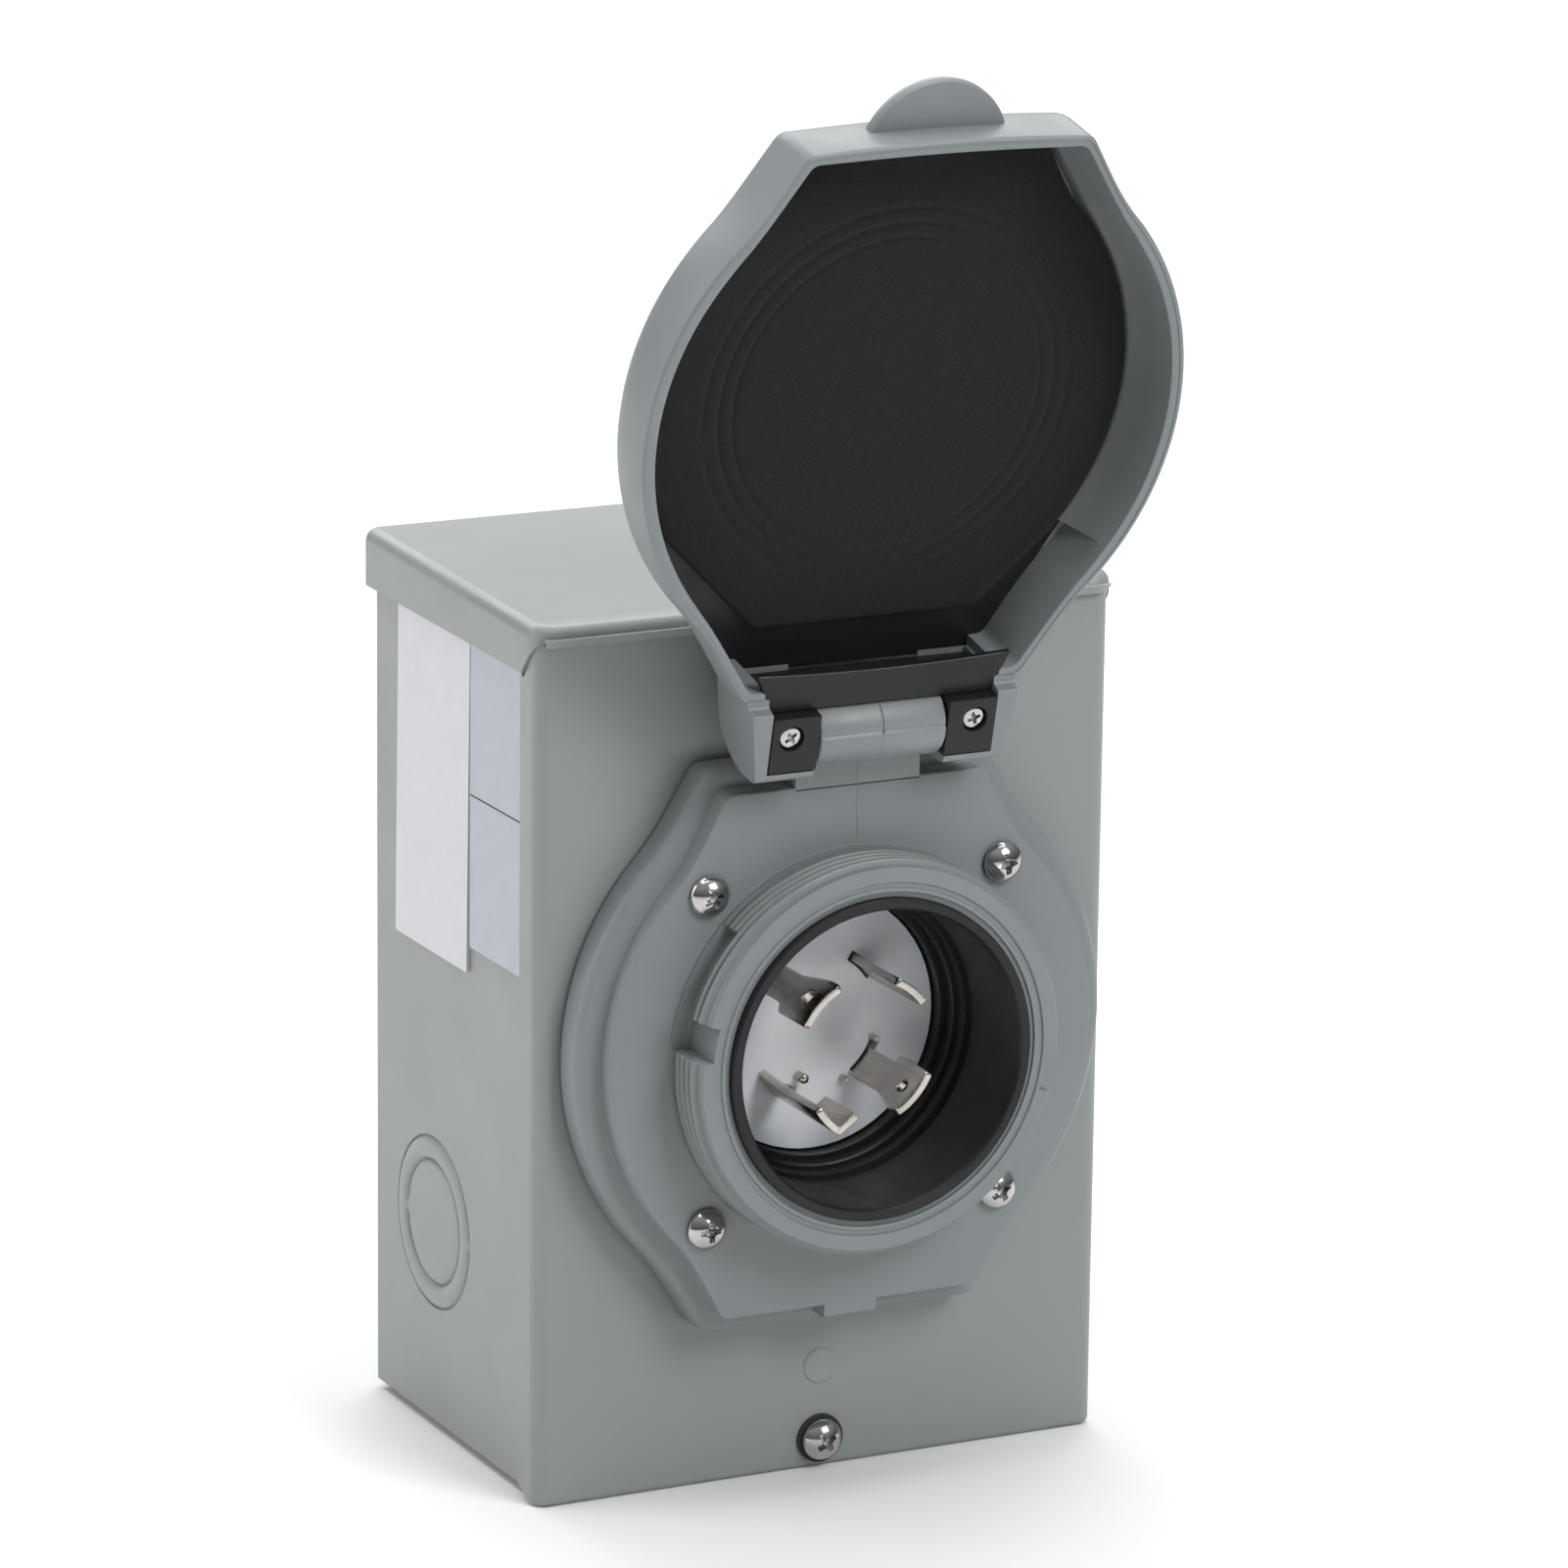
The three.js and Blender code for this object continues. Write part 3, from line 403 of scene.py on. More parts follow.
# Blank printed film with a soft gloss and a slight waviness from the sheet under it.
FILM = dict(roughness=0.34, Coat_Weight=0.25, Coat_Roughness=0.18, tone=(120, 4, 0.975, 1.01),
            gloss=(300, 3, 0.3, 0.42), relief=[(180, 3, 0.03, 0.3)])
SURFACES = {
    # Smooth baked paint with a faint orange peel, a few specks and slow changes of gloss.
    "painted_steel": dict(
        colour=(0.25, 0.275, 0.27), roughness=0.4, Coat_Weight=0.12, Coat_Roughness=0.3,
        tone=(14, 4, 0.965, 1.035), gloss=(60, 5, 0.36, 0.47),
        relief=[(420, 2, 0.05, 0.35), (2600, 2, 0.012, 0.4)]),
    # Moulded plastic, a little bluer than the paint, with a fine satin grain.
    "grey_plastic": dict(
        colour=(0.205, 0.228, 0.234), roughness=0.42, tone=(25, 4, 0.96, 1.04), gloss=(90, 4, 0.36, 0.5),
        relief=[(3600, 3, 0.014, 0.5), (240, 2, 0.03, 0.25)]),
    "black_plastic": dict(
        colour=(0.0145, 0.0138, 0.016), roughness=0.3, Specular_IOR_Level=0.28,
        tone=(60, 4, 0.85, 1.2), gloss=(150, 4, 0.27, 0.42), relief=[(1800, 3, 0.012, 0.4)]),
    # Closed-cell foam: matt, with fine open pores and a slight nap.
    "foam": dict(
        colour=(0.0135, 0.0125, 0.013), roughness=0.95, Sheen_Weight=0.06, Sheen_Roughness=0.6,
        Specular_IOR_Level=0.2, tone=(2400, 4, 0.72, 1.35),
        relief=[(3000, 4, 0.09, 0.75), (320, 3, 0.15, 0.35)]),
    "rubber": dict(
        colour=(0.02, 0.02, 0.021), roughness=0.7, tone=(300, 4, 0.8, 1.3), relief=[(1500, 3, 0.03, 0.5)]),
    # Pale nylon that lets a little light in.
    "white_nylon": dict(
        colour=(0.885, 0.905, 0.965), roughness=0.34, Subsurface_Weight=0.25, Subsurface_Scale=0.002,
        tone=(70, 4, 0.955, 1.03), gloss=(200, 4, 0.28, 0.42), relief=[(260, 3, 0.04, 0.3)]),
    # Nickel plate over rolled brass, with fine lines along the rolling direction.
    "nickel": dict(
        colour=(0.56, 0.53, 0.48), roughness=0.24, metallic=1.0, tone=(120, 4, 0.82, 1.12),
        gloss=(500, 4, 0.17, 0.36, 0.06), relief=[(2600, 2, 0.006, 0.5, 0.04)]),
    "bright_steel": dict(
        colour=(0.52, 0.51, 0.505), roughness=0.13, metallic=1.0, tone=(400, 4, 0.86, 1.08),
        gloss=(900, 4, 0.09, 0.22), relief=[(1400, 2, 0.006, 0.4)]),
    "brass": dict(
        colour=(0.62, 0.43, 0.17), roughness=0.28, metallic=1.0, tone=(300, 4, 0.8, 1.1),
        gloss=(700, 4, 0.2, 0.4)),
    "green_screw": dict(
        colour=(0.04, 0.26, 0.09), roughness=0.3, metallic=0.75, tone=(500, 4, 0.75, 1.2),
        gloss=(700, 4, 0.22, 0.42)),
    "label_white": dict(colour=(0.555, 0.56, 0.585), **FILM),
    "label_grey": dict(colour=(0.375, 0.392, 0.445), **FILM),
}
MATERIALS = {name: surface(name, **values) for name, values in SURFACES.items()}


def dress_cad_nodes():
    """Every carried-over CAD node gets its slot's material."""
    slots = {row["node"]: row["material_slot"] for row in frame["record"]["subparts"]}
    for name, node in frame["nodes"].items():
        node.data.materials.clear()
        node.data.materials.append(MATERIALS[slots[name]])


# ---- Sheet-metal enclosure ----
def roof_z(y):
    return ROOF_HIGH.z + y * math.tan(ROOF_SLOPE)


def folded_sheet(plan, wall_end, edge, bend):
    """A bent sheet: walls that follow a plan outline, rounded over into a flat panel between its two halves.

    plan runs from the back left to the back right and is symmetrical, wall_end(y) gives the walls' free
    edge and edge(y) the outside of the panel.
    """
    steps = 5
    centre = Vector((0, sum(y for _, y in plan) / len(plan)))
    count = len(plan)
    tangents = [Vector(plan[min(i + 1, count - 1)]) - Vector(plan[max(i - 1, 0)]) for i in range(count)]
    inward = []
    for tangent, point in zip(tangents, plan):
        normal = Vector((-tangent.y, tangent.x)).normalized()
        inward.append(normal if normal.dot(centre - Vector(point)) > 0 else -normal)
    columns = []
    for (x, y), normal in zip(plan, inward):
        panel = edge(y)
        sign = 1 if panel > wall_end(y) else -1
        column = [(x, y, wall_end(y))]
        for k in range(steps + 1):
            a = math.pi / 2 * k / steps
            pull = bend * (1 - math.cos(a))
            column.append((x + normal.x * pull, y + normal.y * pull, panel - sign * bend * (1 - math.sin(a))))
        columns.append(column)
    height = len(columns[0])
    verts = [v for column in columns for v in column]
    faces = []
    for i in range(count - 1):
        for k in range(height - 1):
            a, b = i * height + k, (i + 1) * height + k
            faces.append((a, b, b + 1, a + 1))
    for i in range((count - 1) // 2):
        left, right = i, count - 1 - i
        a, b = left * height + height - 1, (left + 1) * height + height - 1
        c, d = right * height + height - 1, (right - 1) * height + height - 1
        faces.append((a, b, d, c) if b != d else (a, b, c))
    return verts, faces


def plan_outline(half_width, back, front, bend, rows):
    """Left half and right half of a U-shaped plan with rounded front corners."""
    left = [(-half_width, y) for y in (back, *rows)]
    left += arc(-half_width + bend, front + bend, bend, 180, 270, 8)
    return left + [(-x, y) for x, y in reversed(left)]


def solidified(piece, thickness):
    """Thickens an open sheet inwards."""
    modifier = piece.modifiers.new("thickness", "SOLIDIFY")
    modifier.thickness = thickness * MM
    modifier.offset = -1
    modifier.use_even_offset = False
    modifier.use_quality_normals = True
    baked(piece)


def open_sheet(name, part, slot, body):
    """A sheet piece whose faces point out, ready to be thickened inwards."""
    verts, faces = part
    piece = make_piece(name, verts, faces, slot, body)
    centre = sum((Vector(v) for v in verts), Vector()) / len(verts) * MM
    outward = sum((f.center - centre).dot(f.normal) * f.area for f in piece.data.polygons)
    if outward < 0:
        piece.data.flip_normals()
    return piece


def roof_hood():
    """Top sheet with a soft bend into the side lips and a short front lip, cut slanting at the corners."""
    front = ROOF_LOW.y
    corner_y, corner_z = ROOF_LIP_CORNER

    def lip(y):
        if y >= corner_y:
            return ROOF_LIP_BACK + (corner_z - ROOF_LIP_BACK) * (y / corner_y)
        rise = roof_z(front) - ROOF_FRONT_LIP - corner_z
        return corner_z + rise * min(1.0, (corner_y - y) / (corner_y - front - 0.8))

    rows = [-20, -40, -60, corner_y, -73.2, -74.2]
    plan = plan_outline(ROOF_HIGH.x, 0, front, ROOF_BEND["plan"], rows)
    sheet = folded_sheet(plan, lip, roof_z, ROOF_BEND["edge"])
    piece = open_sheet("roof_hood_sheet", sheet, "painted_steel", "box")
    solidified(piece, SHEET)
    bevelled(piece, 0.3, 2, FOLD)
    flattened(piece)
    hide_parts("roof_hood")


def cover_seat():
    """Cutters for the holes in the cover: the inlet's, the cover screw's and the flange screws'."""
    y0, y1 = COVER_LOW.y - 1, COVER_LOW.y + 3
    places = [(0, 0, COVER_OPENING)]
    for name in ["cover_screw", *[f"flange_screw_{i}" for i in range(1, 5)]]:
        low, high = node_box(name)
        places.append(((low.x + high.x) / 2, (low.z + high.z) / 2, SCREW_HOLE))
    return [prism_y(arc(x, z, radius, 0, 360, 64)[:-1], y0, y1) for x, z, radius in places]


def front_cover():
    """Front sheet, bent round into a flange at each side and along the bottom, with a round mark."""
    front, back = COVER_LOW.y, COVER_HIGH.y
    corner_y, corner_z = ROOF_LIP_CORNER

    def top(y):
        rise = roof_z(front) - SHEET - 0.5 - corner_z
        share = max(0.0, min(1.0, (corner_y - y) / (corner_y - front - 0.6)))
        return corner_z - COVER_GAP + (rise + 0.4) * share

    def bottom(y):
        lift = max(0.0, min(1.0, (y - front) / (back - front)))
        return COVER_LOW.z + 1.9 * lift ** 2

    plan = plan_outline(COVER_HIGH.x, back, front, COVER_BEND["plan"], [corner_y, -73.5, -74.6])
    sheet = folded_sheet(plan, top, bottom, COVER_BEND["edge"])
    piece = open_sheet("front_cover_sheet", sheet, "painted_steel", "box")
    solidified(piece, SHEET)
    boolean(piece, cover_seat())
    bevelled(piece, 0.25, 2, FOLD)
    flattened(piece)
    mark = turned([(0, front - 0.2), (2.5, front - 0.22), (3.1, front - 0.28), (3.45, front - 0.18),
                   (3.75, front + 0.05), (3.75, front + 0.5), (0, front + 0.5)], 48, 0, MARK_HEIGHT)
    make_piece("cover_mark", *mark, "painted_steel", "box", 60)
    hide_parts("front_cover")


def enclosure_body():
    """The box behind the cover keeps its CAD mesh, with its edges softened."""
    node = frame["nodes"]["enclosure_body"]
    weld = node.modifiers.new("weld", "WELD")
    weld.merge_threshold = 1e-5
    bend = node.modifiers.new("bend", "BEVEL")
    bend.width = 0.9 * MM
    bend.segments = 3
    bend.limit_method = "ANGLE"
    bend.angle_limit = math.radians(60)


def knockout(side):
    """Double knock-out: a disc and a ring with a rounded groove round each, and a tie across each groove."""
    name = f"knockout_{side}"
    ring_low, ring_high = node_box(f"{name}_ring")
    centre = (ring_low + ring_high) / 2
    angles = np.radians(np.arange(0, 360, 2.5))
    stations = [4, 8, 11.2, 11.9, 12.1, 12.4, 12.7, 12.9, 13.6, 15, 16.4, 16.8, 17.0, 17.3, 17.5]

    def height(radius, angle):
        level = 0.32 * math.exp(-((radius - 14.7) / 1.9) ** 4)
        for middle, tie in KNOCKOUT_GROOVES:
            groove = -0.62 * math.exp(-((radius - middle) / 0.33) ** 2)
            away = abs((math.degrees(angle) - tie + 180) % 360 - 180) * math.radians(1) * middle
            level += groove * (1 - math.exp(-(away / 1.1) ** 4))
        return level

    rings = [[(height(radius, a), radius * math.cos(a), radius * math.sin(a)) for a in angles]
             for radius in stations]
    rings.append([(-SHEET, stations[-1] * math.cos(a), stations[-1] * math.sin(a)) for a in angles])

    def place(v):
        out, along, up = v
        if side == "bottom":
            return centre.x + up, centre.y + along, BODY_LOW.z - out
        sign = -1 if side == "left" else 1
        reach = BODY_LOW.x if side == "left" else BODY_HIGH.x
        return reach + sign * out, centre.y + along, centre.z + up

    piece = make_piece(f"{name}_plate", *moved(ring_skin(rings), place), "painted_steel", "box", 60)
    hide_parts(f"{name}_ring", f"{name}_disc")


def side_labels():
    """Blank film labels with rounded corners and a thin printed rule, and no lettering."""
    for node, slot, tilt in (("side_label_wide", "label_white", -1.3),
                             ("side_label_narrow", "label_grey", 0)):
        low, high = node_box(node)
        corners = [(low.y, low.z), (high.y, low.z), (high.y, high.z), (low.y, high.z)]
        lean = math.tan(math.radians(tilt))
        middle = (low.z + high.z) / 2
        outline = [(y + (z - middle) * lean, z) for y, z in rounded(corners, 0.5, 4)]
        lift = 0.12 if tilt else 0.0
        label = make_piece(f"{node}_film", *prism_x(outline, low.x - lift, high.x + 0.25), slot, "box")
        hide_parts(node)
    low, high = node_box("side_label_narrow")
    strip = block((low.x - 0.03, low.y + 0.2, 43.9), (low.x + 0.1, high.y - 0.2, 44.2))
    make_piece("side_label_rule", *strip, "rubber", "box")


# ---- Inlet flange, collar and hinge barrel ----
def slot_angles():
    """Angles with extra points at the edges of the collar's slots and undercuts."""
    edge = math.degrees(SLOT["half_width"] / COLLAR_CREST)
    marks = []
    for turn in (0, 180):
        for mark in (SLOT["angle"] - edge, SLOT["angle"] + edge, SLOT["angle"] - UNDERCUT["sweep"]):
            marks += [mark + turn + d for d in (-0.06, 0.06)]
        marks += list(np.arange(SLOT["angle"] - edge, SLOT["angle"] + edge, 1.0) + turn)
    return marks


def within(angles, start, end):
    """1 where an angle lies between start and end, in degrees, at either of two opposite places."""
    turn = np.degrees(angles)
    hit = np.zeros(len(angles), bool)
    for shift in (0, 180):
        hit |= ((turn - start - shift) % 360) < (end - start)
    return hit


def collar_radius(angles, radius, y):
    """The collar's outside at a station y: the plain radius, less the slots and the undercuts."""
    edge = math.degrees(SLOT["half_width"] / COLLAR_CREST)
    result = np.full(len(angles), float(radius))
    if y <= SLOT["back"]:
        in_slot = within(angles, SLOT["angle"] - edge, SLOT["angle"] + edge)
        result[in_slot] = np.minimum(result[in_slot], SLOT["floor"])
    if UNDERCUT["front"] <= y <= UNDERCUT["back"]:
        under = within(angles, SLOT["angle"] - UNDERCUT["sweep"], SLOT["angle"] + edge)
        result[under] = np.minimum(result[under], UNDERCUT["floor"])
    return result


def thread_stations():
    """(radius, y) down the collar's outside, from its foot to the front face, with its fine threads."""
    start, end = UNDERCUT["back"] - 0.4, COLLAR_FRONT + 1.9
    pitch = (end - start) / THREADS
    shape = ((0.0, THREAD_DEPTH), (0.3, THREAD_DEPTH), (0.45, 0.1), (0.5, 0.0), (0.84, 0.0), (0.9, 0.1),
             (0.99, THREAD_DEPTH))
    stations = []
    for k in range(THREADS):
        base = start + k * pitch
        stations += [(COLLAR_CREST - drop, base + share * pitch) for share, drop in shape]
    return stations


def tier_rings(angles, outline, wall_from, wall_to, rounding, steps=5):
    """Rings up a tier's wall and over its rounded edge, from the wall's foot to its flat face."""
    base = outline_radius(angles, **outline)
    rings = [polar_ring(angles, base, wall_from)]
    for k in range(steps + 1):
        a = math.pi / 2 * k / steps
        y = wall_to + rounding * (1 - math.sin(a))
        rings.append(polar_ring(angles, base - rounding * (1 - math.cos(a)), y))
    return rings


def inlet_flange():
    """Two tiers, the notched and threaded collar and its bore in one skin, joined by the hinge barrel."""
    angles = around(slot_angles())
    rings = tier_rings(angles, OUTER_TIER, FLANGE_BACK, OUTER_FACE, 2.3)
    inner = outline_radius(angles, **INNER_TIER)
    rings.append(polar_ring(angles, inner + 0.7, OUTER_FACE))
    rings.append(polar_ring(angles, inner + 0.2, OUTER_FACE - 0.25))
    rings += tier_rings(angles, INNER_TIER, OUTER_FACE - 0.8, INNER_FACE, 0.4, 4)
    stations = [(COLLAR_FOOT + 0.5, INNER_FACE), (COLLAR_FOOT + 0.1, INNER_FACE - 0.15)]
    stations += [(COLLAR_FOOT, INNER_FACE - 0.5), (COLLAR_FOOT, UNDERCUT["back"] + 0.02)]
    stations += [(COLLAR_FOOT, UNDERCUT["back"] - 0.02), (COLLAR_FOOT - 0.1, UNDERCUT["back"] - 0.3)]
    breaks = [(COLLAR_CREST - THREAD_DEPTH, y + d)
              for y in (SLOT["back"], UNDERCUT["front"]) for d in (0.02, -0.02)]
    stations += sorted(thread_stations() + breaks, key=lambda station: -station[1])
    stations += [(COLLAR_FACE + 0.1, COLLAR_FRONT + 1.85), (COLLAR_FACE, COLLAR_FRONT + 1.7)]
    stations += [(COLLAR_FACE, COLLAR_FRONT + 0.15), (COLLAR_FACE - 0.15, COLLAR_FRONT)]
    for radius, y in stations:
        rings.append(polar_ring(angles, collar_radius(angles, radius, y), y))
    lip = BARREL_RADIUS + 0.08
    face = [(34.3, COLLAR_FRONT), (34.1, COLLAR_FRONT + 0.45), (33.3, COLLAR_FRONT + 0.45),
            (33.1, COLLAR_FRONT + 0.15), (32.5, COLLAR_FRONT + 0.15), (32.35, COLLAR_FRONT + 0.7),
            (lip, COLLAR_FRONT + 0.8), (lip, COLLAR_FRONT + 5), (COLLAR_BORE, COLLAR_FRONT + 5.2),
            (COLLAR_BORE, FLANGE_BACK)]
    for radius, y in face:
        rings.append(polar_ring(angles, np.full(len(angles), radius), y))
    parts = merged(ring_skin(rings, closed_along=True), *hinge_barrel_parts())
    piece = make_piece("inlet_flange_moulding", *parts, "grey_plastic", "box", 40)
    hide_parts("inlet_flange")


def hinge_barrel_parts():
    """What the flange carries: the hinge barrel with its moulding seam, the web under it, the fine parting
    line above the collar and the small lug at the foot of the inner tier.
    """
    radius, half, step, thin = 6.8, 13.0, 0.22, 0.09
    section = []
    for k in range(120):
        degrees = 3 * k
        r = radius - step * (1.0 if degrees < 181 or degrees > 300 else 0.0)
        if 180 <= degrees <= 183:
            r -= 0.25
        section.append((r, math.radians(degrees)))
    rings = []
    ends = ((0.0, 0.5), (0.15, 0.15), (0.5, 0.0))
    for x, shrink in [(-half + a, b) for a, b in ends] + [(half - a, b) for a, b in reversed(ends)]:
        rings.append([(x, HINGE.y + (r - shrink) * math.cos(a), HINGE.z + (r - shrink) * math.sin(a))
                      for r, a in section])
    barrel = ring_skin(rings)
    web = prism_x([(INNER_FACE + 0.2, 48), (INNER_FACE + 0.2, 50.2), (INNER_FACE, 50.5),
                   (INNER_FACE, HINGE.z - 4), (INNER_FACE, HINGE.z), (OUTER_FACE + 3, HINGE.z),
                   (OUTER_FACE + 3, 48)], -half + 0.05, half - 0.05)
    line = block((-thin, INNER_FACE - 0.06, 40.4), (thin, INNER_FACE + 0.3, HINGE.z - 4))
    proud = radius + 0.04
    seam_turn = np.radians(np.arange(120, 270, 6))
    seam = prism_x([(HINGE.y + proud * math.cos(a), HINGE.z + proud * math.sin(a)) for a in seam_turn]
                   + [(HINGE.y, HINGE.z)], -thin, thin)
    lug_side, lug_top = 5.5, -50.6
    lug_foot = ((OUTER_FACE + 1, -53.6), (INNER_FACE + 0.6, -53.6), (INNER_FACE + 0.15, -53.3),
                (INNER_FACE + 0.02, -52.8))
    lug = ring_skin([[(-lug_side, y, z), (lug_side, y, z), (lug_side, y, lug_top), (-lug_side, y, lug_top)]
                     for y, z in lug_foot])
    return [barrel, web, line, seam, lug]


# ---- Screws ----
def cross_recess(radius, depth, top, spin):
    """Cutters along Y for a cross recess: four tapering arms and a round well between them."""
    tools = [turned([(0, top - 1), (radius * 0.5, top - 1), (radius * 0.42, top + depth * 0.7),
                     (radius * 0.1, top + depth * 1.25), (0, top + depth * 1.25)], 20)]
    for quarter in (0, 90):
        turn = math.radians(quarter + spin)
        cos, sin = math.cos(turn), math.sin(turn)
        verts = []
        for y, reach, half in ((top - 1.0, 1.15, 0.27), (top + depth, 0.5, 0.17)):
            for u, v in ((-reach, -half), (reach, -half), (reach, half), (-reach, half)):
                verts.append((radius * (u * cos - v * sin), y, radius * (u * sin + v * cos)))
        faces = [(0, 1, 2, 3), (7, 6, 5, 4), (0, 4, 5, 1), (1, 5, 6, 2), (2, 6, 7, 3), (3, 7, 4, 0)]
        tools.append((verts, faces))
    return tools


def pan_screw(node, spin, head_height=2.7):
    """A domed cross-head screw in place of a CAD one."""
    low, high = node_box(node)
    x, z = (low.x + high.x) / 2, (low.z + high.z) / 2
    radius = (high.x - low.x) / 2
    top = low.y
    seat = top + head_height
    profile = [(0, top)]
    for k in range(1, 9):
        a = math.radians(90 - 68 * k / 8)
        across = radius * 0.98 * math.cos(a) / math.cos(math.radians(22))
        profile.append((across, top + (1 - math.sin(a)) * head_height * 1.25))
    profile += [(radius, seat - 0.35), (radius * 0.97, seat - 0.05), (radius * 0.9, seat), (1.9, seat),
                (1.9, high.y - 0.4), (1.5, high.y), (0, high.y)]
    piece = make_piece(f"{node}_cross_head", *turned(profile, 56, x, z), "bright_steel", "box", 40)
    recess = cross_recess(radius * 0.62, 2.1, top, spin)
    boolean(piece, [moved(tool, lambda v: (v[0] + x, v[1], v[2] + z)) for tool in recess])
    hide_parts(node)


def retainer_screw(side, x, spin):
    """A small cross-head screw sunk into the hinge retainer."""
    top, end = -5.75, 7.9
    profile = [(0, top), (1.85, top), (2.1, top + 0.15), (2.15, top + 0.5), (1.2, top + 1.5), (1.2, end),
               (0, end)]

    def place(v):
        return lid_place((v[0] + x, v[1], v[2] + RETAINER_SCREW["height"]))

    head = moved(turned(profile, 40), place)
    piece = make_piece(f"retainer_screw_{side}_cross_head", *head, "bright_steel", "lid", 40)
    boolean(piece, [moved(tool, place) for tool in cross_recess(1.55, 1.1, top, spin)])
    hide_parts(f"retainer_screw_{side}")


# ---- Locking inlet ----
def inlet_barrel():
    """Black barrel with a rounded lip and stepped ledges behind the contacts."""
    front, back = BARREL_LOW.y, BARREL_HIGH.y
    outer = BARREL_RADIUS
    profile = [(29.3, front + 0.2), (29.5, front), (outer - 0.3, front), (outer, front + 0.3),
               (outer, -79.3), (37.5, -79.3), (37.5, -76.3), (31.6, -76.3), (31.6, back), (25.7, back),
               (25.7, -76.1), (26.0, -76.3), (26.9, -76.3), (27.0, -76.6), (27.0, -78.9), (27.3, -79.1),
               (28.0, -79.1), (28.1, -79.4), (28.1, -82.2), (28.3, -82.5), (28.8, -82.5), (29.0, -82.8),
               (29.0, front + 0.7)]
    piece = make_piece("inlet_barrel_moulding", *turned(profile, 144), "black_plastic", "box", 30)
    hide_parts("inlet_barrel")


# Angles in degrees round the inlet's axis: the middle and width of each contact's head, and its stem's two
# edges measured from that middle, with how much further the stem reaches at its foot.
CONTACTS = [
    {"name": "blade_line_x", "middle": 134, "head": 41, "stem": (-12.5, 13.8), "foot": 0, "hole": True},
    {"name": "blade_line_y", "middle": -43, "head": 41, "stem": (-12.5, 13.8), "foot": 0, "hole": True},
    {"name": "blade_neutral", "middle": 49.5, "head": 32, "stem": (-16, 6), "foot": 0, "hole": False},
    {"name": "blade_ground", "middle": -121, "head": 29, "stem": (-14.5, 5), "foot": 9, "hole": False},
]
BLADE_RADIUS = 15.0
BLADE_THICKNESS = 1.5
BLADE_MEAN = BLADE_RADIUS - BLADE_THICKNESS / 2
BLADE_TIP = -96.85
BLADE_HEAD = 11.2
BLADE_BACK = -66.5
GROUND_TILT = math.radians(-15)
GROUND_LEG = {"turn": 36, "length": 4.4, "depth": 12.5}


def tilted_ground(point):
    """The ground contact is turned outwards about the left end of its head."""
    left = math.radians(CONTACTS[-1]["middle"] - CONTACTS[-1]["head"] / 2)
    pivot = Vector((BLADE_MEAN * math.cos(left), 0, BLADE_MEAN * math.sin(left)))
    x, y, z = Vector(point) - pivot
    cos, sin = math.cos(GROUND_TILT), math.sin(GROUND_TILT)
    return pivot + Vector((x * cos - z * sin, y, x * sin + z * cos))


def contact_blade(contact):
    """A plate cut to its outline, bevelled, and bent round the inlet's axis."""
    half = math.radians(contact["head"] / 2) * BLADE_MEAN
    left, right = (math.radians(a) * BLADE_MEAN for a in contact["stem"])
    foot = math.radians(contact["foot"]) * BLADE_MEAN
    shoulder = BLADE_TIP + BLADE_HEAD
    outline = [(-half, BLADE_TIP), (half, BLADE_TIP), (half, shoulder), (right, shoulder + 0.9),
               (right, BLADE_BACK)]
    if abs(left + half) < 0.1:
        outline += [(left - foot, BLADE_BACK), (-half, shoulder)]
    else:
        outline += [(left, BLADE_BACK), (left, shoulder + 0.9), (-half, shoulder - 7.5)]
    shape = rounded(outline, 0.8, 4)
    rings = [[(u, y, w) for u, y in shape] for w in (-BLADE_THICKNESS / 2, BLADE_THICKNESS / 2)]
    name = contact["name"]
    piece = make_piece(f"{name}_contact", *ring_skin(rings), "nickel", "box")
    bevelled(piece, 0.2, 2, FOLD)
    if contact["hole"]:
        turn = np.radians(np.arange(0, 360, 12))
        tools = []
        for radius, w0, w1 in ((1.4, -2, 2), (1.62, 0.62, 2), (1.62, -2, -0.62)):
            ring = [(radius * math.cos(a), BLADE_TIP + 4.8 + radius * math.sin(a)) for a in turn]
            tools.append(ring_skin([[(u, y, w) for u, y in ring] for w in (w0, w1)]))
        boolean(piece, tools)
    cut_across(piece, half + foot)
    middle = math.radians(contact["middle"])
    for vertex in piece.data.vertices:
        u, y, w = vertex.co / MM
        angle = middle + u / BLADE_MEAN
        bent = ((BLADE_MEAN + w) * math.cos(angle), y, (BLADE_MEAN + w) * math.sin(angle))
        vertex.co = (tilted_ground(bent) if name == "blade_ground" else Vector(bent)) * MM
    shade(piece, SMOOTH)
    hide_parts(name)


def cut_across(piece, half):
    """Cuts the flat plate into narrow strips, so that it can bend smoothly."""
    built = bmesh.new()
    built.from_mesh(piece.data)
    for u in np.arange(-half + 0.45, half, 0.55):
        everything = built.verts[:] + built.edges[:] + built.faces[:]
        bmesh.ops.bisect_plane(built, geom=everything, plane_co=(u * MM, 0, 0), plane_no=(1, 0, 0), dist=1e-8)
    built.to_mesh(piece.data)
    built.free()


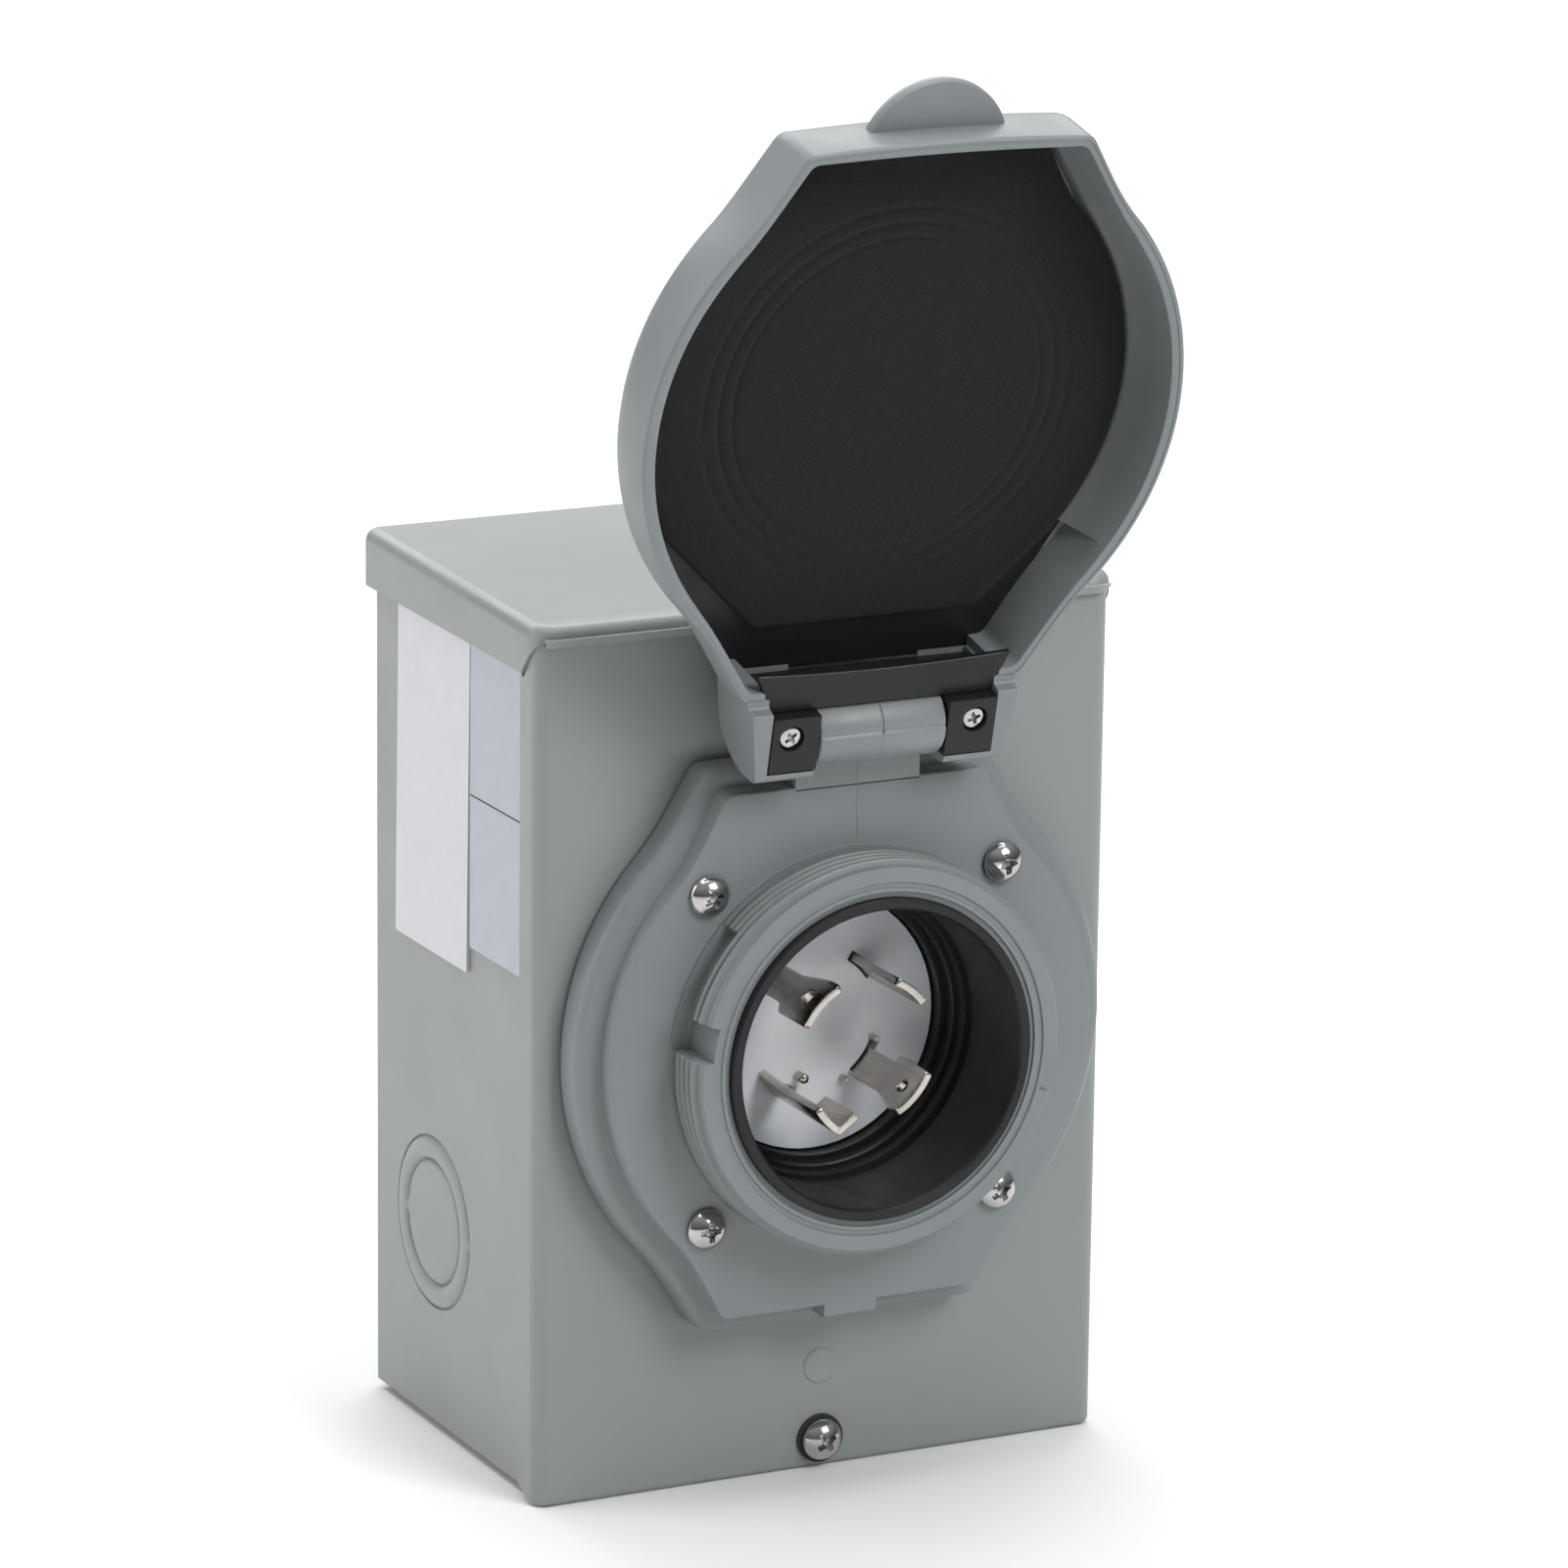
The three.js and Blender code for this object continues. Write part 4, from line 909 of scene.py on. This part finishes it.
def ground_leg():
    """The ground contact's leg, bent inwards at one end of its head."""
    start = math.radians(CONTACTS[-1]["middle"] + CONTACTS[-1]["head"] / 2 - 2)
    origin = tilted_ground((BLADE_MEAN * math.cos(start), 0, BLADE_MEAN * math.sin(start)))
    turn = math.radians(GROUND_LEG["turn"])
    along = Vector((math.cos(turn), 0, math.sin(turn)))
    across = Vector((-math.sin(turn), 0, math.cos(turn)))
    verts, faces = block((-0.6, BLADE_TIP, -BLADE_THICKNESS / 2),
                         (GROUND_LEG["length"], BLADE_TIP + GROUND_LEG["depth"], BLADE_THICKNESS / 2))
    place = [origin + along * u + across * w + Vector((0, y, 0)) for u, y, w in verts]
    bevelled(make_piece("blade_ground_leg", place, faces, "nickel", "box"), 0.25)


def contact_stubs():
    """Small bright posts that stand out of the nylon face at the ends of the contact slots."""
    posts = []
    for x, z, length, radius in ((12.6, -4.6, 2.2, 0.65), (6.4, -12.1, 2.0, 0.7), (-3.0, -10.6, 3.0, 0.95)):
        tip, foot = FACE_FRONT - length, FACE_FRONT + 0.8
        profile = [(0, tip), (radius * 0.7, tip), (radius, tip + 0.3), (radius, foot), (0, foot)]
        posts.append(turned(profile, 24, x, z))
    make_piece("contact_stubs", *merged(*posts), "nickel", "box", 50)


# ---- Lid ----
def lid_ring(angles, inset, depth):
    """A ring of the lid's outline, moved inwards a little less where the outline has its neck."""
    base = outline_radius(angles, **LID_OUTLINE)
    share = 1 - 0.28 * np.exp(-((np.abs(np.sin(angles)) - 0.78) / 0.12) ** 2)
    return [lid_place(p) for p in polar_ring(angles, base - inset * share, depth, LID_CENTRE)]


def lid_shell():
    """Deep-rimmed shell: straight wall, soft turn into the flat back, stepped rim and hollow inside.

    At the hinge end the wall is cut away, first under the ears and then between them.
    """
    angles = around()
    rings = []
    for k in range(9):
        a = math.pi / 2 * (8 - k) / 8
        depth = LID_BACK - LID_ROUND * (1 - math.sin(a))
        rings.append(lid_ring(angles, LID_ROUND * (1 - math.cos(a)), depth))
    rim = [(0.0, LID_RIM + 0.7), (0.12, LID_RIM + 0.3), (0.45, LID_RIM), (0.95, LID_RIM),
           (1.05, LID_RIM + 0.22), (2.2, LID_RIM + 0.22), (2.5, LID_RIM + 0.35), (2.7, LID_RIM + 0.8),
           (3.4, 3.0), (4.6, 7.7), (5.4, 10.6), (6.4, LID_FLOOR)]
    rings += [lid_ring(angles, inset, depth) for inset, depth in rim]
    shell = make_piece("lid_moulding", *ring_skin(rings), "grey_plastic", "lid", 40)
    inside = polar_ring(angles, outline_radius(angles, **LID_OUTLINE) - 2.9, 0, LID_CENTRE)
    hollow = [(x, z) for x, _, z in inside if z < 34]
    left = [p for p in hollow if p[0] < -LID_MOUTH - 0.3]
    right = [p for p in hollow if p[0] > LID_MOUTH + 0.3]
    mouth = prism_y([*left, (-LID_MOUTH, 4), (LID_MOUTH, 4), *right], -10, 10.4)
    for part in (block((-60, -20, -20), (60, 30, 9.2)), mouth):
        boolean(shell, [moved(part, lid_place)], smooth=40)
    finger_tab(shell)
    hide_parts("lid_shell")


def finger_tab(shell):
    """Half-round tab at the free end, thinned towards its edge."""
    radius, centre = 14.8, LID_CENTRE + 49.6
    rings = []
    for inset, depth in ((0.9, 5.6), (0.25, 5.2), (0.0, 4.4), (0.0, 3.4), (0.4, 2.8), (1.2, 2.6)):
        rings.append([(x, depth, z) for x, z in arc(0, centre, radius - inset, 12, 168, 40)])
    boolean(shell, [moved(ring_skin(rings), lid_place)], "UNION", 40)


def lid_ears():
    """Two ears round the retainer's blocks, rounded at the back and narrowing towards the bottom."""
    corners = [(-3.7, 9.4), (-3.7, 7.6), (-6.1, 7.0), (-6.1, -7.0), (1.5, -7.8), (9.4, -3.5), (9.6, 9.4)]
    profile = rounded(corners, [1.0, 0.8, 0.6, 1.2, 7.0, 8.0, 1.0], 6)
    for side in (-1, 1):
        outer = [(side * (27.5 - 0.15 * (7.0 - height)), depth, height) for depth, height in profile]
        inner = [(side * 13.5, depth, height) for depth, height in profile]
        name = f"lid_ear_{'left' if side < 0 else 'right'}"
        piece = make_piece(name, *moved(ring_skin([inner, outer]), lid_place), "grey_plastic", "lid", 40)
        x0, x1 = sorted((side * 12.0, side * 23.3))
        rooms = [block((x0, -10, -5.4), (x1, 6.5, 20)), block((x0, -10, 5.5), (x1, 8.9, 20))]
        boolean(piece, [moved(room, lid_place) for room in rooms])
        bevelled(piece, 0.35, 3, FOLD)
        flattened(piece)


def foam_pad():
    """Foam sheet cut square at the hinge end, with the rings that the closed collar presses into it."""
    angles = np.radians(np.arange(0, 360, 1.5))
    base = outline_radius(angles, **LID_OUTLINE) - 5.7
    foot = FOAM_FOOT["height"] - LID_CENTRE
    edge = base.copy()
    for k, angle in enumerate(angles):
        cos, sin = math.cos(angle), math.sin(angle)
        if sin >= -0.2:
            continue
        reach = foot / sin
        for side, half in ((-1, FOAM_FOOT["left"]), (1, FOAM_FOOT["right"])):
            slant = side * cos * FOAM_FOOT["slope"] - sin
            if slant > 0:
                reach = min(reach, (half * FOAM_FOOT["slope"] - foot) / slant)
        edge[k] = min(edge[k], reach)
    stations = sorted({*np.arange(3, 28, 4.0), *np.arange(28, 40, 0.3), 41.0, 43.0, 45.0, 47.0})

    def pressed(radius, angle):
        """How far the collar has pushed the foam back: its rings, the outer one with a gap at each slot."""
        away = min(abs((math.degrees(angle) - slot + 180) % 360 - 180) for slot in (11, 191))
        outer_ring = 0.0 if away < 5 else 1.0
        depth = 0.3 * math.exp(-((radius - 34.3) / 0.5) ** 2) + 0.3 * math.exp(-((radius - 31.4) / 0.45) ** 2)
        depth += outer_ring * 0.26 * math.exp(-((radius - 37.4) / 0.55) ** 2)
        return depth + 0.1 * math.exp(-((radius - 33.0) / 4.0) ** 4)

    rings = []
    for radius in stations:
        ring = []
        for a, stop in zip(angles, edge):
            r = min(radius, stop - 1.0 + radius * 0.01)
            ring.append(lid_place((r * math.cos(a), FOAM_FACE + pressed(r, a), LID_CENTRE + r * math.sin(a))))
        rings.append(ring)
    for inset, depth in ((0.45, 0.05), (0.12, 0.3), (0.0, 0.7), (0.0, 3.0)):
        rings.append([lid_place((r * math.cos(a), FOAM_FACE + depth, LID_CENTRE + r * math.sin(a)))
                      for a, r in zip(angles, edge - inset)])
    piece = make_piece("foam_pad_pressed", *ring_skin(rings), "foam", "lid", 60)
    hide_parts("lid_foam_pad")


def hinge_retainer():
    """Black moulding: a thin front wall whose top edge sags, its floor, two blocks that hold the pin, and
    the flat liner behind the foam.
    """
    rings = []
    for k in range(21):
        t = -1 + k / 10
        top = 14.0 - 0.85 * (1 - t * t)
        section = [(-3.6, 6.2), (-3.6, top - 0.15), (-3.45, top), (-2.5, top), (-2.3, top - 0.2), (-1.9, 8.2),
                   (6.0, 7.6), (6.0, 6.2)]
        rings.append([(t * (23.6 + (z - 8.2) * 0.46), y, z) for y, z in section])
    bar = ring_skin(rings)
    floor = block((-23.2, 4.0, 6.4), (23.2, 8.7, 8.4))
    liner_outline = [(-26.5, 8), (26.5, 8), (42.5, 36), (45.5, 46), (-45.5, 46), (-42.5, 36)]
    liner = prism_y(rounded(liner_outline, 2.0, 4), 10.0, LID_FLOOR - 0.1)
    blocks = []
    for side in (-1, 1):
        x0, x1 = sorted((side * 13.25, side * 23.1))
        blocks.append(block((x0, -6.3, -5.1), (x1, 6.1, 6.1)))
        blocks.append(block((x0 + 0.2, -3.4, 5.5), (x1 - 0.2, 6.1, 8.4)))
    parts = merged(bar, floor, liner, *blocks)
    piece = make_piece("hinge_retainer_moulding", *moved(parts, lid_place), "black_plastic", "lid")
    recess = turned([(0, -8), (2.5, -8), (2.5, -4.6), (1.4, -4.5), (1.4, 7.4), (0, 7.4)], 40)
    tools = [moved(recess, lambda v, x=x: lid_place((v[0] + x, v[1], v[2] + RETAINER_SCREW["height"])))
             for x in (-RETAINER_SCREW["x"], RETAINER_SCREW["x"])]
    boolean(piece, tools)
    bevelled(piece, 0.3, 2, FOLD)
    flattened(piece)
    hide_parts("hinge_retainer")


# ---- Studio ----
def camera():
    """A long lens from the left and above, with a slight roll."""
    azimuth, elevation, roll = math.radians(26.435), math.radians(14.557), math.radians(0.689)
    back = Vector((-math.sin(azimuth) * math.cos(elevation), -math.cos(azimuth) * math.cos(elevation),
                   math.sin(elevation)))
    level = Vector((math.cos(azimuth), -math.sin(azimuth), 0))
    upright = back.cross(level)
    right = level * math.cos(roll) + upright * math.sin(roll)
    up = upright * math.cos(roll) - level * math.sin(roll)
    target = Vector((0.05, -60, 43.2)) * MM
    distance = 1.45736
    data = bpy.data.cameras.new("camera")
    data.lens = 175.72
    data.sensor_width = 36
    rig = bpy.data.objects.new("camera", data)
    rotation = Matrix((right, up, back)).transposed().to_4x4()
    rig.matrix_world = Matrix.Translation(target + back * distance) @ rotation
    bpy.context.scene.collection.objects.link(rig)
    bpy.context.scene.camera = rig


def area_light(name, place, aim, size, power):
    """A white panel of light, in metres and watts."""
    data = bpy.data.lights.new(name, "AREA")
    data.shape = "RECTANGLE"
    data.size, data.size_y = size
    data.energy = power
    light = bpy.data.objects.new(name, data)
    light.location = place
    light.rotation_mode = "QUATERNION"
    light.rotation_quaternion = (Vector(aim) - Vector(place)).to_track_quat("-Z", "Y")
    bpy.context.scene.collection.objects.link(light)


def studio():
    """White floor, pale sky that darkens downwards, three soft lights and one for the background."""
    level = min(COVER_LOW.z, BODY_LOW.z) * MM
    reach = 4.0
    corners = [(-reach, -reach, level), (reach, -reach, level), (reach, reach, level), (-reach, reach, level)]
    mesh = bpy.data.meshes.new("floor")
    mesh.from_pydata(corners, [], [(0, 1, 2, 3)])
    floor = bpy.data.objects.new("floor", mesh)
    bpy.context.scene.collection.objects.link(floor)
    mesh.materials.append(new_material("floor", (0.86, 0.86, 0.86), 0.9))
    world = bpy.data.worlds.new("studio")
    world.use_nodes = True
    tree = world.node_tree
    background = tree.nodes["Background"]
    background.inputs["Strength"].default_value = 0.42
    direction = tree.nodes.new("ShaderNodeTexCoord")
    parts = tree.nodes.new("ShaderNodeSeparateXYZ")
    shade_ramp = tree.nodes.new("ShaderNodeValToRGB")
    shade_ramp.color_ramp.elements[0].position = 0.0
    shade_ramp.color_ramp.elements[0].color = (0.16, 0.165, 0.17, 1)
    shade_ramp.color_ramp.elements[1].position = 0.75
    shade_ramp.color_ramp.elements[1].color = (1, 1, 1, 1)
    tree.links.new(direction.outputs["Generated"], parts.inputs["Vector"])
    tree.links.new(parts.outputs["Z"], shade_ramp.inputs["Fac"])
    tree.links.new(shade_ramp.outputs["Color"], background.inputs["Color"])
    bpy.context.scene.world = world
    area_light("softbox_top", (0.0, -0.1, 1.25), (0, -0.06, 0), (1.1, 0.8), 8.0)
    area_light("softbox_left", (-1.3, 0.5, 0.5), (0, -0.02, 0.03), (0.9, 1.2), 7.6)
    area_light("softbox_front", (0.55, -1.35, 1.15), (0, -0.05, 0.08), (0.8, 0.7), 16.5)
    area_light("backdrop_light", (0.4, 2.4, 1.8), (0.3, 2.2, 0), (3.2, 2.4), 80)
    bpy.context.scene.view_settings.view_transform = "Standard"


# ---- Build ----
camera()
studio()
dress_cad_nodes()
roof_hood()
front_cover()
enclosure_body()
for side in ("left", "right", "bottom"):
    knockout(side)
side_labels()
inlet_flange()
for node, spin in (("flange_screw_1", 22), ("flange_screw_2", 8), ("flange_screw_3", 3),
                   ("flange_screw_4", 30)):
    pan_screw(node, spin)
pan_screw("cover_screw", 33, 2.9)
inlet_barrel()
contact_stubs()
for contact in CONTACTS:
    contact_blade(contact)
ground_leg()
lid_shell()
lid_ears()
foam_pad()
hinge_retainer()
retainer_screw("left", -RETAINER_SCREW["x"], 35)
retainer_screw("right", RETAINER_SCREW["x"], 20)
